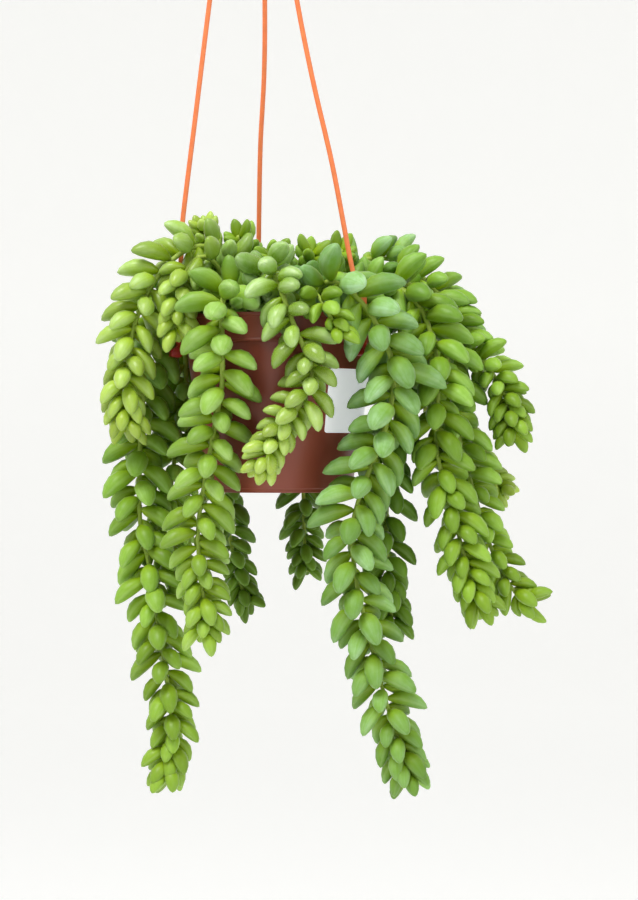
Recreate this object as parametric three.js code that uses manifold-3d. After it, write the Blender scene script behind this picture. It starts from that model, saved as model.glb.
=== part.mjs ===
// Burro's tail in a hanging nursery pot.
// Millimetres, +Z up, X to the right and Y away from the viewer. The origin is the inside top of the hook.
// Shapes are worked out in the pot's own frame, with its foot at height 0 and its axis on X = Y = 0.
import * as THREE from 'three';
import { mergeVertices } from 'three/addons/utils/BufferGeometryUtils.js';
import Module from 'manifold-3d';

const wasm = await Module();
wasm.setup();

// Pot
const POT_HEIGHT = 105;
const RIM_RADIUS = 59.9;
const LIP_RADIUS = 60.7;
const LIP_HEIGHT = 2.6;
const BAND_HEIGHT = 17;
const BAND_STEP = 1.9;
const BEAD_HEIGHT = 1.5;
const BASE_RADIUS = 43.6;
const BODY_TOP_RADIUS = 56.6;
const FOOT_INSET = 0.9;
const FOOT_HEIGHT = 2.6;
const FOOT_RING = 8;
const FLOOR_UNDERSIDE = 1.6;
const WALL = 1.2;
const DRAIN_RADIUS = 3.5;
const DRAIN_CIRCLE = 24;
const DRAIN_COUNT = 6;
const POT_SIDES = 36;
const DRAIN_SIDES = 8;

// Soil, label and the gap that touching pieces keep
const SEAT = 0.3;
const SOIL_TOP = 96;
const SOIL_DOME = 2.5;
const HOLE_DEPTH = 11;
const HOLE_SIDES = 4;
const SOIL_SIDES = 20;
const SOIL_EDGE = 4;
const SOIL_SHOULDER_RADIUS = 30;
const LABEL_HEIGHT = 37.5;
const LABEL_BOTTOM = 35.2;
const LABEL_START = 33;
const LABEL_ARC = 51;
const LABEL_THICKNESS = 0.3;
const LABEL_COLUMNS = 7;

// Hanger: the hub under the hook, the hook's round bar, the strands and the clips at the rim
const HUB_X = -14.5;
const HUB_BOTTOM = 463;
const HUB_HEIGHT = 9;
const HUB_RADIUS = 8.5;
const HUB_CIRCLE = 4.6;
const SOCKET_DEPTH = 6;
const BAR_RADIUS = 2.3;
const HOOK_RADIUS = 13;
const HOOK_RISE = 28;
const STRAND_WIDTH = 3;
const STRAND_THICKNESS = 1.8;
const CLIP_WIDTH = 9;
const CLIP_PLATE = 1.7;
const CLIP_TOP = 118;
const CLIP_FOOT_DEPTH = 6;
const CLIP_DROP = 7.6;
const STRAND_STEP = 24;
const HOOK_STEP = 4.5;
const HOOK_SIDES = 8;
const HUB_SIDES = 24;

// The photograph: a level camera, its picture centre and its scale at the pot's axis
const PICTURE_X = 319;
const PICTURE_Y = 450;
const PIXELS_PER_MM = 1.66;
const CAMERA_DISTANCE = 1400;
const CAMERA_X = 23.5;
const CAMERA_Z = 25.1;

// Leaves: the turn from one to the next, the spacing as a share of leaf length, and the leaf's form
const DIVERGENCE = 137.508;
const CLOSE_SPACING = 0.1;
const SPACING = 0.118;
const WIDE_SPACING = 0.145;
const WIDTH_BASE = 2.3;
const WIDTH_SHARE = 0.2;
const NARROWING = 0.25;
const THICKNESS_OF_WIDTH = 0.86;
const ARCH = 0.1;
const SIZE_SPREAD = 0.15;
const TURN_SPREAD = 18;
const SPLAY_SPREAD = 12;
const TIP_CLOSING = 10;
const SMALL_LEAF = 17;
const STEM_RADIUS = 1.8;
const STEM_TIP_RADIUS = 1.1;
const CLEARANCE = 0.6;
const CURVE_STEPS = 8;
const STEM_SIDES = 4;
const STEM_STEP = 13;
const LEAF_SINK = 0.3;
const BALL_STEP = 2.5;
const STRAND_BALL_STEP = 2;

// Leaf rings in a long and a short leaf: how far along, and their share of the widest
const LONG_LEAF_RINGS = [[0.4, 1.02], [0.76, 0.96]];
const SHORT_LEAF_RINGS = [[0.58, 1.12]];
const RING_CORNERS = [[1, -0.3], [0, 1], [-1, -0.3]];

// The even sequence: each state is the last one times a factor, plus a step, within a range
const DRAW_FACTOR = 1664525;
const DRAW_STEP = 1013904223;
const DRAW_RANGE = 4294967296;

// Leaf size along a stem: the first leaf's share, the full share, the share lost by the end and the last
// leaf's share. Then the stretches where leaves grow, shrink and close, in leaf lengths and as a part of the
// leafy stem, the spacing's share at the start with the share it loses, and how far the tip's leaves crowd
const FIRST_SHARE = 0.72;
const FULL_SHARE = 1.08;
const LOST_SHARE = 0.28;
const TIP_SHARE = 0.64;
const GROWING_LENGTHS = 2.4;
const SHRINKING_LENGTHS = 2.2;
const CLOSING_LENGTHS = 1.6;
const GROWING_PART = 0.4;
const SHRINKING_PART = 0.5;
const START_SPACING = 1.2;
const LOST_SPACING = 0.25;
const TIP_CROWDING = 0.35;

const HANG = new THREE.Vector3(HUB_X, 0, HUB_BOTTOM + HUB_HEIGHT + HOOK_RISE + HOOK_RADIUS - BAR_RADIUS);
const BAND_BOTTOM = POT_HEIGHT - BAND_HEIGHT;
const UP = new THREE.Vector3(0, 0, 1);
const RIGHT = new THREE.Vector3(1, 0, 0);
const rad = THREE.MathUtils.degToRad;

// A point of the photograph, in pixels, at a depth in millimetres behind the pot's axis
function sighted([pictureX, pictureY, depth]) {
  const scale = PIXELS_PER_MM * CAMERA_DISTANCE / (CAMERA_DISTANCE + depth);
  const x = CAMERA_X + (pictureX - PICTURE_X) / scale;
  const z = CAMERA_Z - (pictureY - PICTURE_Y) / scale;
  return new THREE.Vector3(x, depth, z);
}

// Stems, nearest the eye first. A way lists picture x, picture y and depth from the crest to the tip.
const STEMS = [
  { name: 'stem_front_right_long', seed: 11, root: [13, -15], bare: 26, tint: 0x86b06c,
    leaf: 28, splay: [61, 50], spacing: SPACING,
    way: [[316, 298, -38], [327, 282, -52], [349, 290, -62], [370, 314, -65], [385, 342, -64],
      [394, 372, -63], [389, 415, -62], [377, 452, -62], [362, 490, -62], [352, 530, -62],
      [355, 572, -61], [363, 612, -60], [375, 660, -60], [389, 712, -60], [402, 752, -60],
      [410, 778, -60]] },
  { name: 'stem_front_left', seed: 23, root: [-22, -22], bare: 18, tint: 0x8fbf4e,
    leaf: 25.5, splay: [76, 56], spacing: SPACING,
    way: [[238, 302, -34], [229, 288, -50], [222, 305, -62], [222, 340, -66], [222, 385, -64],
      [214, 430, -60], [205, 480, -56], [198, 530, -52], [201, 580, -50], [205, 610, -49],
      [204, 634, -48]] },
  { name: 'stem_front_centre', seed: 37, root: [-7, -24], bare: 14, tint: 0x9ccb4a,
    leaf: 22, splay: [66, 56], spacing: SPACING,
    way: [[266, 294, -38], [268, 270, -46], [272, 268, -56], [281, 290, -68], [292, 320, -73],
      [303, 346, -74], [312, 374, -74], [302, 402, -72], [286, 422, -72], [271, 446, -71],
      [262, 470, -69]] },
  { name: 'stem_left_upper', seed: 41, root: [-27, -10], bare: 30, tint: 0xa3cf52,
    leaf: 25, splay: [64, 50], spacing: SPACING,
    way: [[232, 286, -14], [219, 253, -19], [194, 247, -26], [166, 266, -31], [144, 300, -35],
      [131, 340, -37], [127, 378, -38], [126, 410, -38], [127, 427, -38]] },
  { name: 'stem_left_long', seed: 53, root: [-38, 8], bare: 22, tint: 0x7fb14a,
    leaf: 26, splay: [60, 48], spacing: SPACING,
    way: [[208, 296, 8], [190, 278, 8], [166, 300, 6], [150, 345, 2], [143, 400, -2], [140, 450, -6],
      [140, 520, -9], [149, 565, -10], [157, 620, -10], [167, 680, -10], [172, 735, -10],
      [166, 778, -10]] },
  { name: 'stem_right_outer', seed: 67, root: [31, -13], bare: 18, tint: 0x86b85a,
    leaf: 25.5, splay: [60, 48], spacing: SPACING,
    way: [[372, 288, -14], [396, 286, -20], [420, 308, -27], [434, 345, -33], [438, 390, -37],
      [436, 440, -38], [443, 480, -38], [454, 516, -38], [463, 552, -38], [474, 588, -37],
      [480, 608, -36]] },
  { name: 'stem_front_middle', seed: 71, root: [3, -26], bare: 16, tint: 0x8dbd58,
    leaf: 23, splay: [70, 56], spacing: WIDE_SPACING,
    way: [[301, 302, -44], [309, 290, -58], [321, 300, -70], [332, 320, -77], [338, 336, -78]] },
  { name: 'stem_left_middle', seed: 89, root: [-33, 24], bare: 68, tint: 0x7cae48,
    leaf: 23, splay: [60, 48], spacing: SPACING,
    way: [[212, 296, 27], [198, 290, 29], [187, 335, 28], [185, 400, 22], [176, 450, 14], [170, 500, 8],
      [172, 550, 6], [180, 590, 6]] },
  { name: 'stem_right_rear', seed: 97, root: [41, 0], bare: 22, tint: 0x82b254,
    leaf: 24, splay: [64, 50], spacing: WIDE_SPACING,
    way: [[384, 292, 2], [408, 284, 0], [432, 308, -2], [446, 350, -5], [452, 400, -8], [462, 450, -10],
      [476, 500, -12], [490, 545, -14], [505, 578, -15], [521, 598, -15], [531, 602, -15]] },
  { name: 'stem_right_curled', seed: 103, root: [38, 14], bare: 20, tint: 0x74a84e,
    leaf: 22.5, splay: [72, 60], spacing: CLOSE_SPACING,
    way: [[376, 284, 16], [404, 274, 18], [434, 290, 18], [454, 326, 15], [470, 352, 8], [490, 370, 2],
      [504, 394, -3], [511, 418, -5], [514, 436, -6]] },
  { name: 'stem_right_inner', seed: 113, root: [29, 2], bare: 60, tint: 0x5c8a40,
    leaf: 24, splay: [56, 44], spacing: WIDE_SPACING,
    way: [[362, 292, -2], [382, 278, -8], [396, 304, -14], [401, 350, -18], [398, 400, -22],
      [391, 450, -25], [387, 500, -27], [387, 550, -28], [390, 600, -28], [392, 628, -28]] },
  { name: 'stem_top_right', seed: 127, root: [24, 24], bare: 14, tint: 0x7fae5c,
    leaf: 21, splay: [66, 52], spacing: WIDE_SPACING,
    way: [[344, 296, 28], [354, 266, 31], [380, 258, 34], [410, 267, 35], [436, 291, 35],
      [457, 318, 33], [468, 333, 32]] },
  { name: 'stem_left_short', seed: 229, root: [-26, -18], bare: 10, tint: 0x97c350,
    leaf: 24, splay: [66, 54], spacing: SPACING,
    way: [[228, 290, -22], [214, 262, -32], [197, 258, -37], [183, 278, -40], [177, 304, -41],
      [175, 331, -41]] },
  { name: 'stem_top_left', seed: 131, root: [-34, -2], bare: 10, tint: 0x8ebb50,
    leaf: 16.5, splay: [64, 48], spacing: CLOSE_SPACING,
    way: [[222, 288, 0], [211, 254, -4], [203, 225, -12]] },
  { name: 'stem_top_back', seed: 139, root: [-14, 14], bare: 10, tint: 0x7fae4c,
    leaf: 20, splay: [66, 52], spacing: SPACING,
    way: [[254, 290, 14], [247, 262, 8], [238, 236, -3]] },
  { name: 'stem_top_centre', seed: 149, root: [-7, 0], bare: 10, tint: 0x76a94c,
    leaf: 21, splay: [72, 58], spacing: SPACING,
    way: [[272, 292, -4], [273, 266, -15], [274, 258, -27]] },
  { name: 'stem_top_middle', seed: 151, root: [8, 3], bare: 10, tint: 0x7aab50,
    leaf: 19, splay: [66, 54], spacing: SPACING,
    way: [[304, 292, 2], [309, 266, -6], [312, 252, -13]] },
  { name: 'stem_top_rear', seed: 233, root: [18, 14], bare: 10, tint: 0x7aab50,
    leaf: 19, splay: [66, 52], spacing: SPACING,
    way: [[326, 292, 18], [333, 266, 12], [342, 250, 4]] },
  { name: 'stem_top_front', seed: 163, root: [12, -6], bare: 10, tint: 0x72a050,
    leaf: 18, splay: [70, 56], spacing: SPACING,
    way: [[322, 294, -16], [329, 276, -28], [333, 272, -38]] },
  { name: 'stem_right_small', seed: 173, root: [30, 30], bare: 100, tint: 0x8fc04a,
    leaf: 19, splay: [62, 50], spacing: WIDE_SPACING,
    way: [[364, 298, 38], [392, 290, 46], [420, 322, 46], [440, 370, 40], [454, 420, 32],
      [472, 458, 24], [494, 482, 18], [504, 490, 16]] },
  { name: 'stem_back_centre', seed: 181, root: [3, 34], bare: 70, tint: 0x4f7a3a,
    leaf: 22, splay: [64, 54], spacing: WIDE_SPACING,
    way: [[300, 298, 54], [300, 288, 67], [300, 330, 77], [301, 400, 77], [303, 470, 75],
      [304, 530, 73], [306, 572, 71]] },
  { name: 'stem_back_left', seed: 191, root: [-24, 34], bare: 58, tint: 0x55803a,
    leaf: 21, splay: [62, 52], spacing: WIDE_SPACING,
    way: [[243, 300, 52], [236, 290, 62], [228, 330, 69], [225, 400, 67], [226, 470, 63],
      [229, 530, 58], [240, 582, 54], [249, 604, 52]] },
  { name: 'stem_back_right', seed: 193, root: [22, 38], bare: 30, tint: 0x5c8a40,
    leaf: 19, splay: [56, 43], spacing: WIDE_SPACING,
    way: [[336, 300, 56], [342, 292, 67], [346, 330, 75], [346, 390, 75], [345, 436, 73]] },
];

// Places in the order that an even, seeded sequence gives them
function seeded(seed) {
  let state = seed;
  return () => {
    state = (state * DRAW_FACTOR + DRAW_STEP) % DRAW_RANGE;
    return state / DRAW_RANGE;
  };
}

// Outer radius of the pot's wall at a height, and at any height at all the widest that a leaf must clear
function bodyRadius(z) {
  const share = (z - FOOT_HEIGHT) / (BAND_BOTTOM - FOOT_HEIGHT);
  return BASE_RADIUS + (BODY_TOP_RADIUS - BASE_RADIUS) * share;
}

function potRadius(z) {
  return z > BAND_BOTTOM - 1 ? LIP_RADIUS : Math.max(BASE_RADIUS, bodyRadius(z));
}

// A geometry from rings of points, joined side to side, closed by an end point or an end ring's centre
function geometryFromRings(rings) {
  const positions = [];
  const starts = [];
  for (const ring of rings) {
    starts.push(positions.length / 3);
    for (const point of ring) positions.push(point.x, point.y, point.z);
  }
  const index = [];
  for (let i = 0; i + 1 < rings.length; i += 1) {
    joinRings(index, starts[i], rings[i].length, starts[i + 1], rings[i + 1].length);
  }
  const geometry = new THREE.BufferGeometry();
  geometry.setAttribute('position', new THREE.Float32BufferAttribute(positions, 3));
  geometry.setIndex(index);
  return geometry;
}

function joinRings(index, first, firstCount, second, secondCount) {
  const sides = Math.max(firstCount, secondCount);
  for (let k = 0; k < sides; k += 1) {
    const next = (k + 1) % sides;
    const a = first + (firstCount > 1 ? k : 0);
    const b = first + (firstCount > 1 ? next : 0);
    const c = second + (secondCount > 1 ? k : 0);
    const d = second + (secondCount > 1 ? next : 0);
    if (firstCount > 1) index.push(a, b, secondCount > 1 ? d : c);
    if (secondCount > 1) index.push(a, d, c);
  }
}

// A closed geometry as a solid for joining and cutting, turned to face outwards
function solid(geometry) {
  const bare = geometry.clone();
  bare.deleteAttribute('normal');
  bare.deleteAttribute('uv');
  const merged = mergeVertices(bare, 1e-4);
  const vertProperties = new Float32Array(merged.attributes.position.array);
  const triVerts = new Uint32Array(merged.index.array);
  const made = new wasm.Manifold(new wasm.Mesh({ numProp: 3, vertProperties, triVerts }));
  if (made.volume() > 0) return made;
  for (let i = 0; i < triVerts.length; i += 3) {
    [triVerts[i], triVerts[i + 1]] = [triVerts[i + 1], triVerts[i]];
  }
  return new wasm.Manifold(new wasm.Mesh({ numProp: 3, vertProperties, triVerts }));
}

// Back to a geometry, keeping the one outer body: sealed hollows are filled and loose scraps dropped
function outerGeometry(made) {
  const mesh = made.getMesh();
  const count = mesh.vertProperties.length / mesh.numProp;
  const parent = Array.from({ length: count }, (_, i) => i);
  const find = (i) => {
    while (parent[i] !== i) {
      parent[i] = parent[parent[i]];
      i = parent[i];
    }
    return i;
  };
  for (let i = 0; i < mesh.triVerts.length; i += 3) {
    const root = find(mesh.triVerts[i]);
    parent[find(mesh.triVerts[i + 1])] = root;
    parent[find(mesh.triVerts[i + 2])] = root;
  }
  const corner = (i) => new THREE.Vector3().fromArray(mesh.vertProperties, i * mesh.numProp);
  const volumes = new Map();
  for (let i = 0; i < mesh.triVerts.length; i += 3) {
    const [a, b, c] = [0, 1, 2].map((k) => corner(mesh.triVerts[i + k]));
    const body = find(mesh.triVerts[i]);
    volumes.set(body, (volumes.get(body) ?? 0) + a.dot(b.cross(c)) / 6);
  }
  const largest = [...volumes].reduce((best, entry) => (entry[1] > best[1] ? entry : best))[0];
  const index = [];
  for (let i = 0; i < mesh.triVerts.length; i += 3) {
    if (find(mesh.triVerts[i]) === largest) index.push(...mesh.triVerts.slice(i, i + 3));
  }
  const positions = new Float32Array(count * 3);
  for (let i = 0; i < count; i += 1) corner(i).toArray(positions, i * 3);
  const geometry = new THREE.BufferGeometry();
  geometry.setAttribute('position', new THREE.Float32BufferAttribute(positions, 3));
  geometry.setIndex(index);
  return geometry.toNonIndexed();
}

// A smooth line through points, a fixed number of steps from each to the next
function smoothLine(points) {
  const line = [];
  for (let i = 0; i + 1 < points.length; i += 1) {
    const before = points[Math.max(i - 1, 0)];
    const after = points[Math.min(i + 2, points.length - 1)];
    for (let k = 0; k < CURVE_STEPS; k += 1) {
      line.push(betweenPoints(before, points[i], points[i + 1], after, k / CURVE_STEPS));
    }
  }
  line.push(points[points.length - 1].clone());
  return line;
}

function betweenPoints(p0, p1, p2, p3, t) {
  const along = (a, b, c, d) => 0.5 * (2 * b + (c - a) * t + (2 * a - 5 * b + 4 * c - d) * t * t
    + (3 * b - a - 3 * c + d) * t * t * t);
  return new THREE.Vector3(along(p0.x, p1.x, p2.x, p3.x), along(p0.y, p1.y, p2.y, p3.y),
    along(p0.z, p1.z, p2.z, p3.z));
}

// Distances along a line, with a frame carried along it that doesn't twist
function carriedLine(line, firstSide) {
  const lengths = [0];
  for (let i = 1; i < line.length; i += 1) lengths.push(lengths[i - 1] + line[i].distanceTo(line[i - 1]));
  const forwards = line.map((_, i) => {
    const ahead = line[Math.min(i + 1, line.length - 1)];
    const behind = line[Math.max(i - 1, 0)];
    return ahead.clone().sub(behind).normalize();
  });
  const sides = [];
  let side = firstSide.clone();
  for (const forward of forwards) {
    side = side.clone().addScaledVector(forward, -side.dot(forward)).normalize();
    sides.push(side);
  }
  return { line, lengths, forwards, sides, total: lengths[lengths.length - 1] };
}

// Place, forward direction and side direction at a distance along a carried line
function placeOn(carried, distance) {
  let i = 1;
  while (i < carried.lengths.length - 1 && carried.lengths[i] < distance) i += 1;
  const share = (distance - carried.lengths[i - 1]) / (carried.lengths[i] - carried.lengths[i - 1]);
  const blend = (list) => list[i - 1].clone().lerp(list[i], share);
  const forward = blend(carried.forwards).normalize();
  const side = blend(carried.sides);
  side.addScaledVector(forward, -side.dot(forward)).normalize();
  return { point: blend(carried.line), forward, side, across: forward.clone().cross(side) };
}

// A bar swept along a carried line. The outline gives its corners from the place's two side directions.
function sweptBar(carried, distances, outline) {
  const rings = distances.map((distance, i) => {
    const place = placeOn(carried, distance);
    return outline(i, distance).map(([u, v]) => place.point.clone()
      .addScaledVector(place.side, u).addScaledVector(place.across, v));
  });
  return cappedRings(rings);
}

// Rings joined in order, with both ends closed at the end ring's middle
function cappedRings(rings) {
  const middle = (ring) => {
    const sum = ring.reduce((total, point) => total.add(point), new THREE.Vector3());
    return [sum.divideScalar(ring.length)];
  };
  return geometryFromRings([middle(rings[0]), ...rings, middle(rings[rings.length - 1])]);
}

function evenly(start, end, step) {
  const count = Math.max(1, Math.round((end - start) / step));
  return Array.from({ length: count + 1 }, (_, i) => start + (end - start) * i / count);
}

function circle(radius, sides) {
  return Array.from({ length: sides }, (_, k) => {
    const turn = 2 * Math.PI * k / sides;
    return [radius * Math.cos(turn), radius * Math.sin(turn)];
  });
}

// An upright cylinder that starts at a height
function post(x, y, bottom, top, radius, sides) {
  const geometry = new THREE.CylinderGeometry(radius, radius, top - bottom, sides);
  geometry.rotateX(Math.PI / 2);
  geometry.translate(x, y, (bottom + top) / 2);
  return geometry;
}

// A body of revolution about the pot's axis from radius and height pairs
function turned(profile, sides) {
  const points = profile.map(([radius, z]) => new THREE.Vector2(radius, z));
  return new THREE.LatheGeometry(points, sides).rotateX(Math.PI / 2);
}

function potSolid() {
  const footRadius = BASE_RADIUS - FOOT_INSET;
  const floorTop = FLOOR_UNDERSIDE + WALL;
  const bandBottomRadius = BODY_TOP_RADIUS + BAND_STEP;
  const profile = [
    [0, FLOOR_UNDERSIDE], [footRadius - FOOT_RING, FLOOR_UNDERSIDE], [footRadius - FOOT_RING, 0],
    [footRadius, 0], [footRadius, FOOT_HEIGHT - 0.4], [BASE_RADIUS, FOOT_HEIGHT],
    [BODY_TOP_RADIUS, BAND_BOTTOM],
    [bandBottomRadius + 0.5, BAND_BOTTOM + 0.2], [bandBottomRadius + 0.5, BAND_BOTTOM + BEAD_HEIGHT],
    [bandBottomRadius, BAND_BOTTOM + BEAD_HEIGHT + 0.4], [RIM_RADIUS, POT_HEIGHT - LIP_HEIGHT],
    [LIP_RADIUS, POT_HEIGHT - LIP_HEIGHT + 0.3], [LIP_RADIUS, POT_HEIGHT], [RIM_RADIUS - WALL, POT_HEIGHT],
    [bandBottomRadius - WALL, BAND_BOTTOM + WALL], [BODY_TOP_RADIUS - WALL, BAND_BOTTOM - WALL],
    [BASE_RADIUS - WALL, floorTop], [0, floorTop],
  ];
  let made = solid(turned(profile, POT_SIDES));
  for (let k = 0; k < DRAIN_COUNT; k += 1) {
    const turn = 2 * Math.PI * k / DRAIN_COUNT;
    const x = DRAIN_CIRCLE * Math.cos(turn);
    const y = DRAIN_CIRCLE * Math.sin(turn);
    made = made.subtract(solid(post(x, y, 0, 2 * floorTop, DRAIN_RADIUS, DRAIN_SIDES)));
  }
  return made;
}

function soilSolid() {
  const floor = FLOOR_UNDERSIDE + WALL + SEAT;
  const inner = (z) => bodyRadius(z) - WALL - SEAT;
  const bandInner = BODY_TOP_RADIUS - WALL - SEAT;
  const profile = [
    [0, floor], [inner(floor), floor], [bandInner, BAND_BOTTOM - WALL], [bandInner, SOIL_TOP - 2],
    [bandInner - SOIL_EDGE, SOIL_TOP], [SOIL_SHOULDER_RADIUS, SOIL_TOP + 0.7 * SOIL_DOME],
    [0, SOIL_TOP + SOIL_DOME],
  ];
  let made = solid(turned(profile, SOIL_SIDES));
  const radius = (STEM_RADIUS + SEAT) / Math.cos(Math.PI / HOLE_SIDES);
  for (const stem of STEMS) {
    const hole = post(stem.root[0], stem.root[1], SOIL_TOP - HOLE_DEPTH, SOIL_TOP + 10, radius, HOLE_SIDES);
    made = made.subtract(solid(hole));
  }
  return made;
}

// The paper follows the tapered wall, a seat's gap outside it
function labelSolid() {
  const corner = (column, z, out) => {
    const turn = rad(LABEL_START + LABEL_ARC * column / LABEL_COLUMNS - 90);
    const radius = bodyRadius(z) + SEAT + out;
    return new THREE.Vector3(radius * Math.cos(turn), radius * Math.sin(turn), z);
  };
  const top = LABEL_BOTTOM + LABEL_HEIGHT;
  const rings = [];
  for (let column = 0; column <= LABEL_COLUMNS; column += 1) {
    rings.push([corner(column, LABEL_BOTTOM, 0), corner(column, LABEL_BOTTOM, LABEL_THICKNESS),
      corner(column, top, LABEL_THICKNESS), corner(column, top, 0)]);
  }
  return solid(cappedRings(rings));
}

// Strands from their clip on the rim to their socket in the hub. The turn is the clip's place on the rim.
const STRANDS = [
  { name: 'strand_left', turn: 193, socket: 180,
    way: [[182, 240, -12], [183.2, 215.6, -11], [196, 112, -9], [209.8, 0, -6], [227, -130, -3]] },
  { name: 'strand_right', turn: 321, socket: 300,
    way: [[350.8, 262, -36], [332.5, 165.8, -29], [313.4, 83, -23], [296.8, 0, -18], [275, -130, -10]] },
  { name: 'strand_back', turn: 104, socket: 60,
    way: [[258.7, 242, 50], [260.3, 149, 41], [264.1, 74.6, 34], [264.8, 0, 27], [263, -130, 15]] },
];

function clipSolid(turn) {
  const inside = LIP_RADIUS + SEAT;
  const outside = inside + CLIP_PLATE;
  const ledge = BAND_BOTTOM - SEAT;
  const foot = ledge - CLIP_DROP;
  const shape = new THREE.Shape();
  shape.moveTo(inside, CLIP_TOP);
  shape.lineTo(inside, ledge);
  shape.lineTo(BODY_TOP_RADIUS + 1, ledge);
  shape.lineTo(BODY_TOP_RADIUS + 1, ledge - 1.8);
  shape.lineTo(inside, foot);
  shape.lineTo(inside + CLIP_FOOT_DEPTH, foot + 0.6);
  shape.lineTo(inside + CLIP_FOOT_DEPTH, foot + 4.2);
  shape.lineTo(outside, ledge - 1);
  shape.lineTo(outside, CLIP_TOP);
  const geometry = new THREE.ExtrudeGeometry(shape, { depth: CLIP_WIDTH, bevelEnabled: false });
  geometry.translate(0, 0, -CLIP_WIDTH / 2);
  geometry.rotateX(Math.PI / 2);
  geometry.rotateZ(rad(turn));
  return solid(geometry);
}

function socketPlace(angle) {
  return new THREE.Vector3(HUB_X + HUB_CIRCLE * Math.cos(rad(angle)), HUB_CIRCLE * Math.sin(rad(angle)), 0);
}

function strandLine({ turn, socket, way }) {
  const radius = LIP_RADIUS + SEAT + CLIP_PLATE / 2;
  const foot = new THREE.Vector3(radius * Math.cos(rad(turn)), radius * Math.sin(rad(turn)), CLIP_TOP - 6);
  const seat = socketPlace(socket);
  const upright = [-30, -8, SOCKET_DEPTH - SEAT].map((z) => seat.clone().setZ(HUB_BOTTOM + z));
  return smoothLine([foot, ...way.map(sighted), ...upright]);
}

function strandSolid(strand) {
  const carried = carriedLine(strandLine(strand), RIGHT);
  const half = STRAND_WIDTH / 2;
  const thick = STRAND_THICKNESS / 2;
  const flat = 0.6 * half;
  const outline = () => [[half, 0], [flat, thick], [-flat, thick], [-half, 0], [-flat, -thick],
    [flat, -thick]];
  const bar = sweptBar(carried, evenly(0, carried.total, STRAND_STEP), outline);
  return solid(bar).add(clipSolid(strand.turn));
}

function hookSolid() {
  const top = HUB_BOTTOM + HUB_HEIGHT;
  const centre = top + HOOK_RISE;
  const points = [];
  for (const z of [top - 3, top + 3, top + 7]) points.push(new THREE.Vector3(HUB_X, 0, z));
  points.push(new THREE.Vector3(HUB_X - 0.45 * HOOK_RADIUS, 0, top + 14));
  points.push(new THREE.Vector3(HUB_X - 0.9 * HOOK_RADIUS, 0, top + 20));
  for (let angle = 180; angle >= -15; angle -= 19.5) {
    points.push(new THREE.Vector3(HUB_X + HOOK_RADIUS * Math.cos(rad(angle)), 0,
      centre + HOOK_RADIUS * Math.sin(rad(angle))));
  }
  const carried = carriedLine(smoothLine(points), new THREE.Vector3(0, 1, 0));
  const bar = sweptBar(carried, evenly(0, carried.total, HOOK_STEP), () => circle(BAR_RADIUS, HOOK_SIDES));
  let made = solid(post(HUB_X, 0, HUB_BOTTOM, top, HUB_RADIUS, HUB_SIDES)).add(solid(bar));
  for (const { socket } of STRANDS) {
    const place = socketPlace(socket);
    const width = STRAND_WIDTH + 2 * SEAT;
    const slot = new THREE.BoxGeometry(width, STRAND_THICKNESS + 2 * SEAT, 2 * SOCKET_DEPTH);
    slot.translate(place.x, place.y, HUB_BOTTOM);
    made = made.subtract(solid(slot));
  }
  return made;
}

// The stem's line: straight up out of its hole in the soil, then along its way
function stemLine(stem) {
  const [x, y] = stem.root;
  const heights = [SEAT - HOLE_DEPTH, SOIL_DOME + 1, SOIL_DOME + 8];
  const upright = heights.map((z) => new THREE.Vector3(x, y, SOIL_TOP + z));
  return carriedLine(smoothLine([...upright, ...stem.way.map(sighted)]), RIGHT);
}

function stemRadiusAt(carried, distance) {
  return STEM_RADIUS + (STEM_TIP_RADIUS - STEM_RADIUS) * distance / carried.total;
}

// From 1 along the stem to 0 at its tip, over the stretch where leaves shrink
function toTip(stem, carried, share) {
  const leafy = carried.total - stem.bare;
  return Math.min(1, leafy * (1 - share) / Math.min(SHRINKING_LENGTHS * stem.leaf, SHRINKING_PART * leafy));
}

// Leaves are smaller where they begin, shrink slowly along the stem and fast just before the tip
function leafSize(stem, carried, distance) {
  const leafy = carried.total - stem.bare;
  const share = (distance - stem.bare) / leafy;
  const growing = Math.min(GROWING_LENGTHS * stem.leaf, GROWING_PART * leafy);
  const fromStart = Math.min(1, leafy * share / growing);
  const started = FIRST_SHARE + (1 - FIRST_SHARE) * fromStart;
  const grown = stem.leaf * (FULL_SHARE - LOST_SHARE * share) * started;
  const last = TIP_SHARE * stem.leaf;
  return last + (grown - last) * Math.pow(toTip(stem, carried, share), 0.8);
}

// Half width and half thickness of a leaf along its length, as a share of the widest
function leafProfile(t) {
  return Math.pow(Math.sin(Math.PI * Math.pow(Math.min(Math.max(t, 0), 1), 0.85)), 0.7);
}

// One leaf: its foot in the stem, its length direction, its flat direction and its outward bulge direction
function leafAt(stem, carried, distance, turn, splay, length) {
  const place = placeOn(carried, distance);
  const mixed = (a, b, angle) => {
    return a.clone().multiplyScalar(Math.cos(angle)).addScaledVector(b, Math.sin(angle));
  };
  const outward = mixed(place.side, place.across, turn);
  const along = mixed(place.forward, outward, splay);
  const bulge = mixed(place.forward, outward, splay + Math.PI / 2);
  const flat = along.clone().cross(bulge);
  const foot = place.point.clone().addScaledVector(outward, LEAF_SINK * STEM_RADIUS);
  const share = distance / carried.total;
  const halfWidth = (WIDTH_BASE + WIDTH_SHARE * length) * (1 - NARROWING * share);
  return { foot, along, bulge, flat, length, halfWidth, halfThickness: THICKNESS_OF_WIDTH * halfWidth };
}

function leafPoint(leaf, t, u, v) {
  return leaf.foot.clone().addScaledVector(leaf.along, leaf.length * t).addScaledVector(leaf.flat, u)
    .addScaledVector(leaf.bulge, v + arched(leaf, t));
}

function arched(leaf, t) {
  return ARCH * leaf.length * 4 * t * (1 - t);
}

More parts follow.
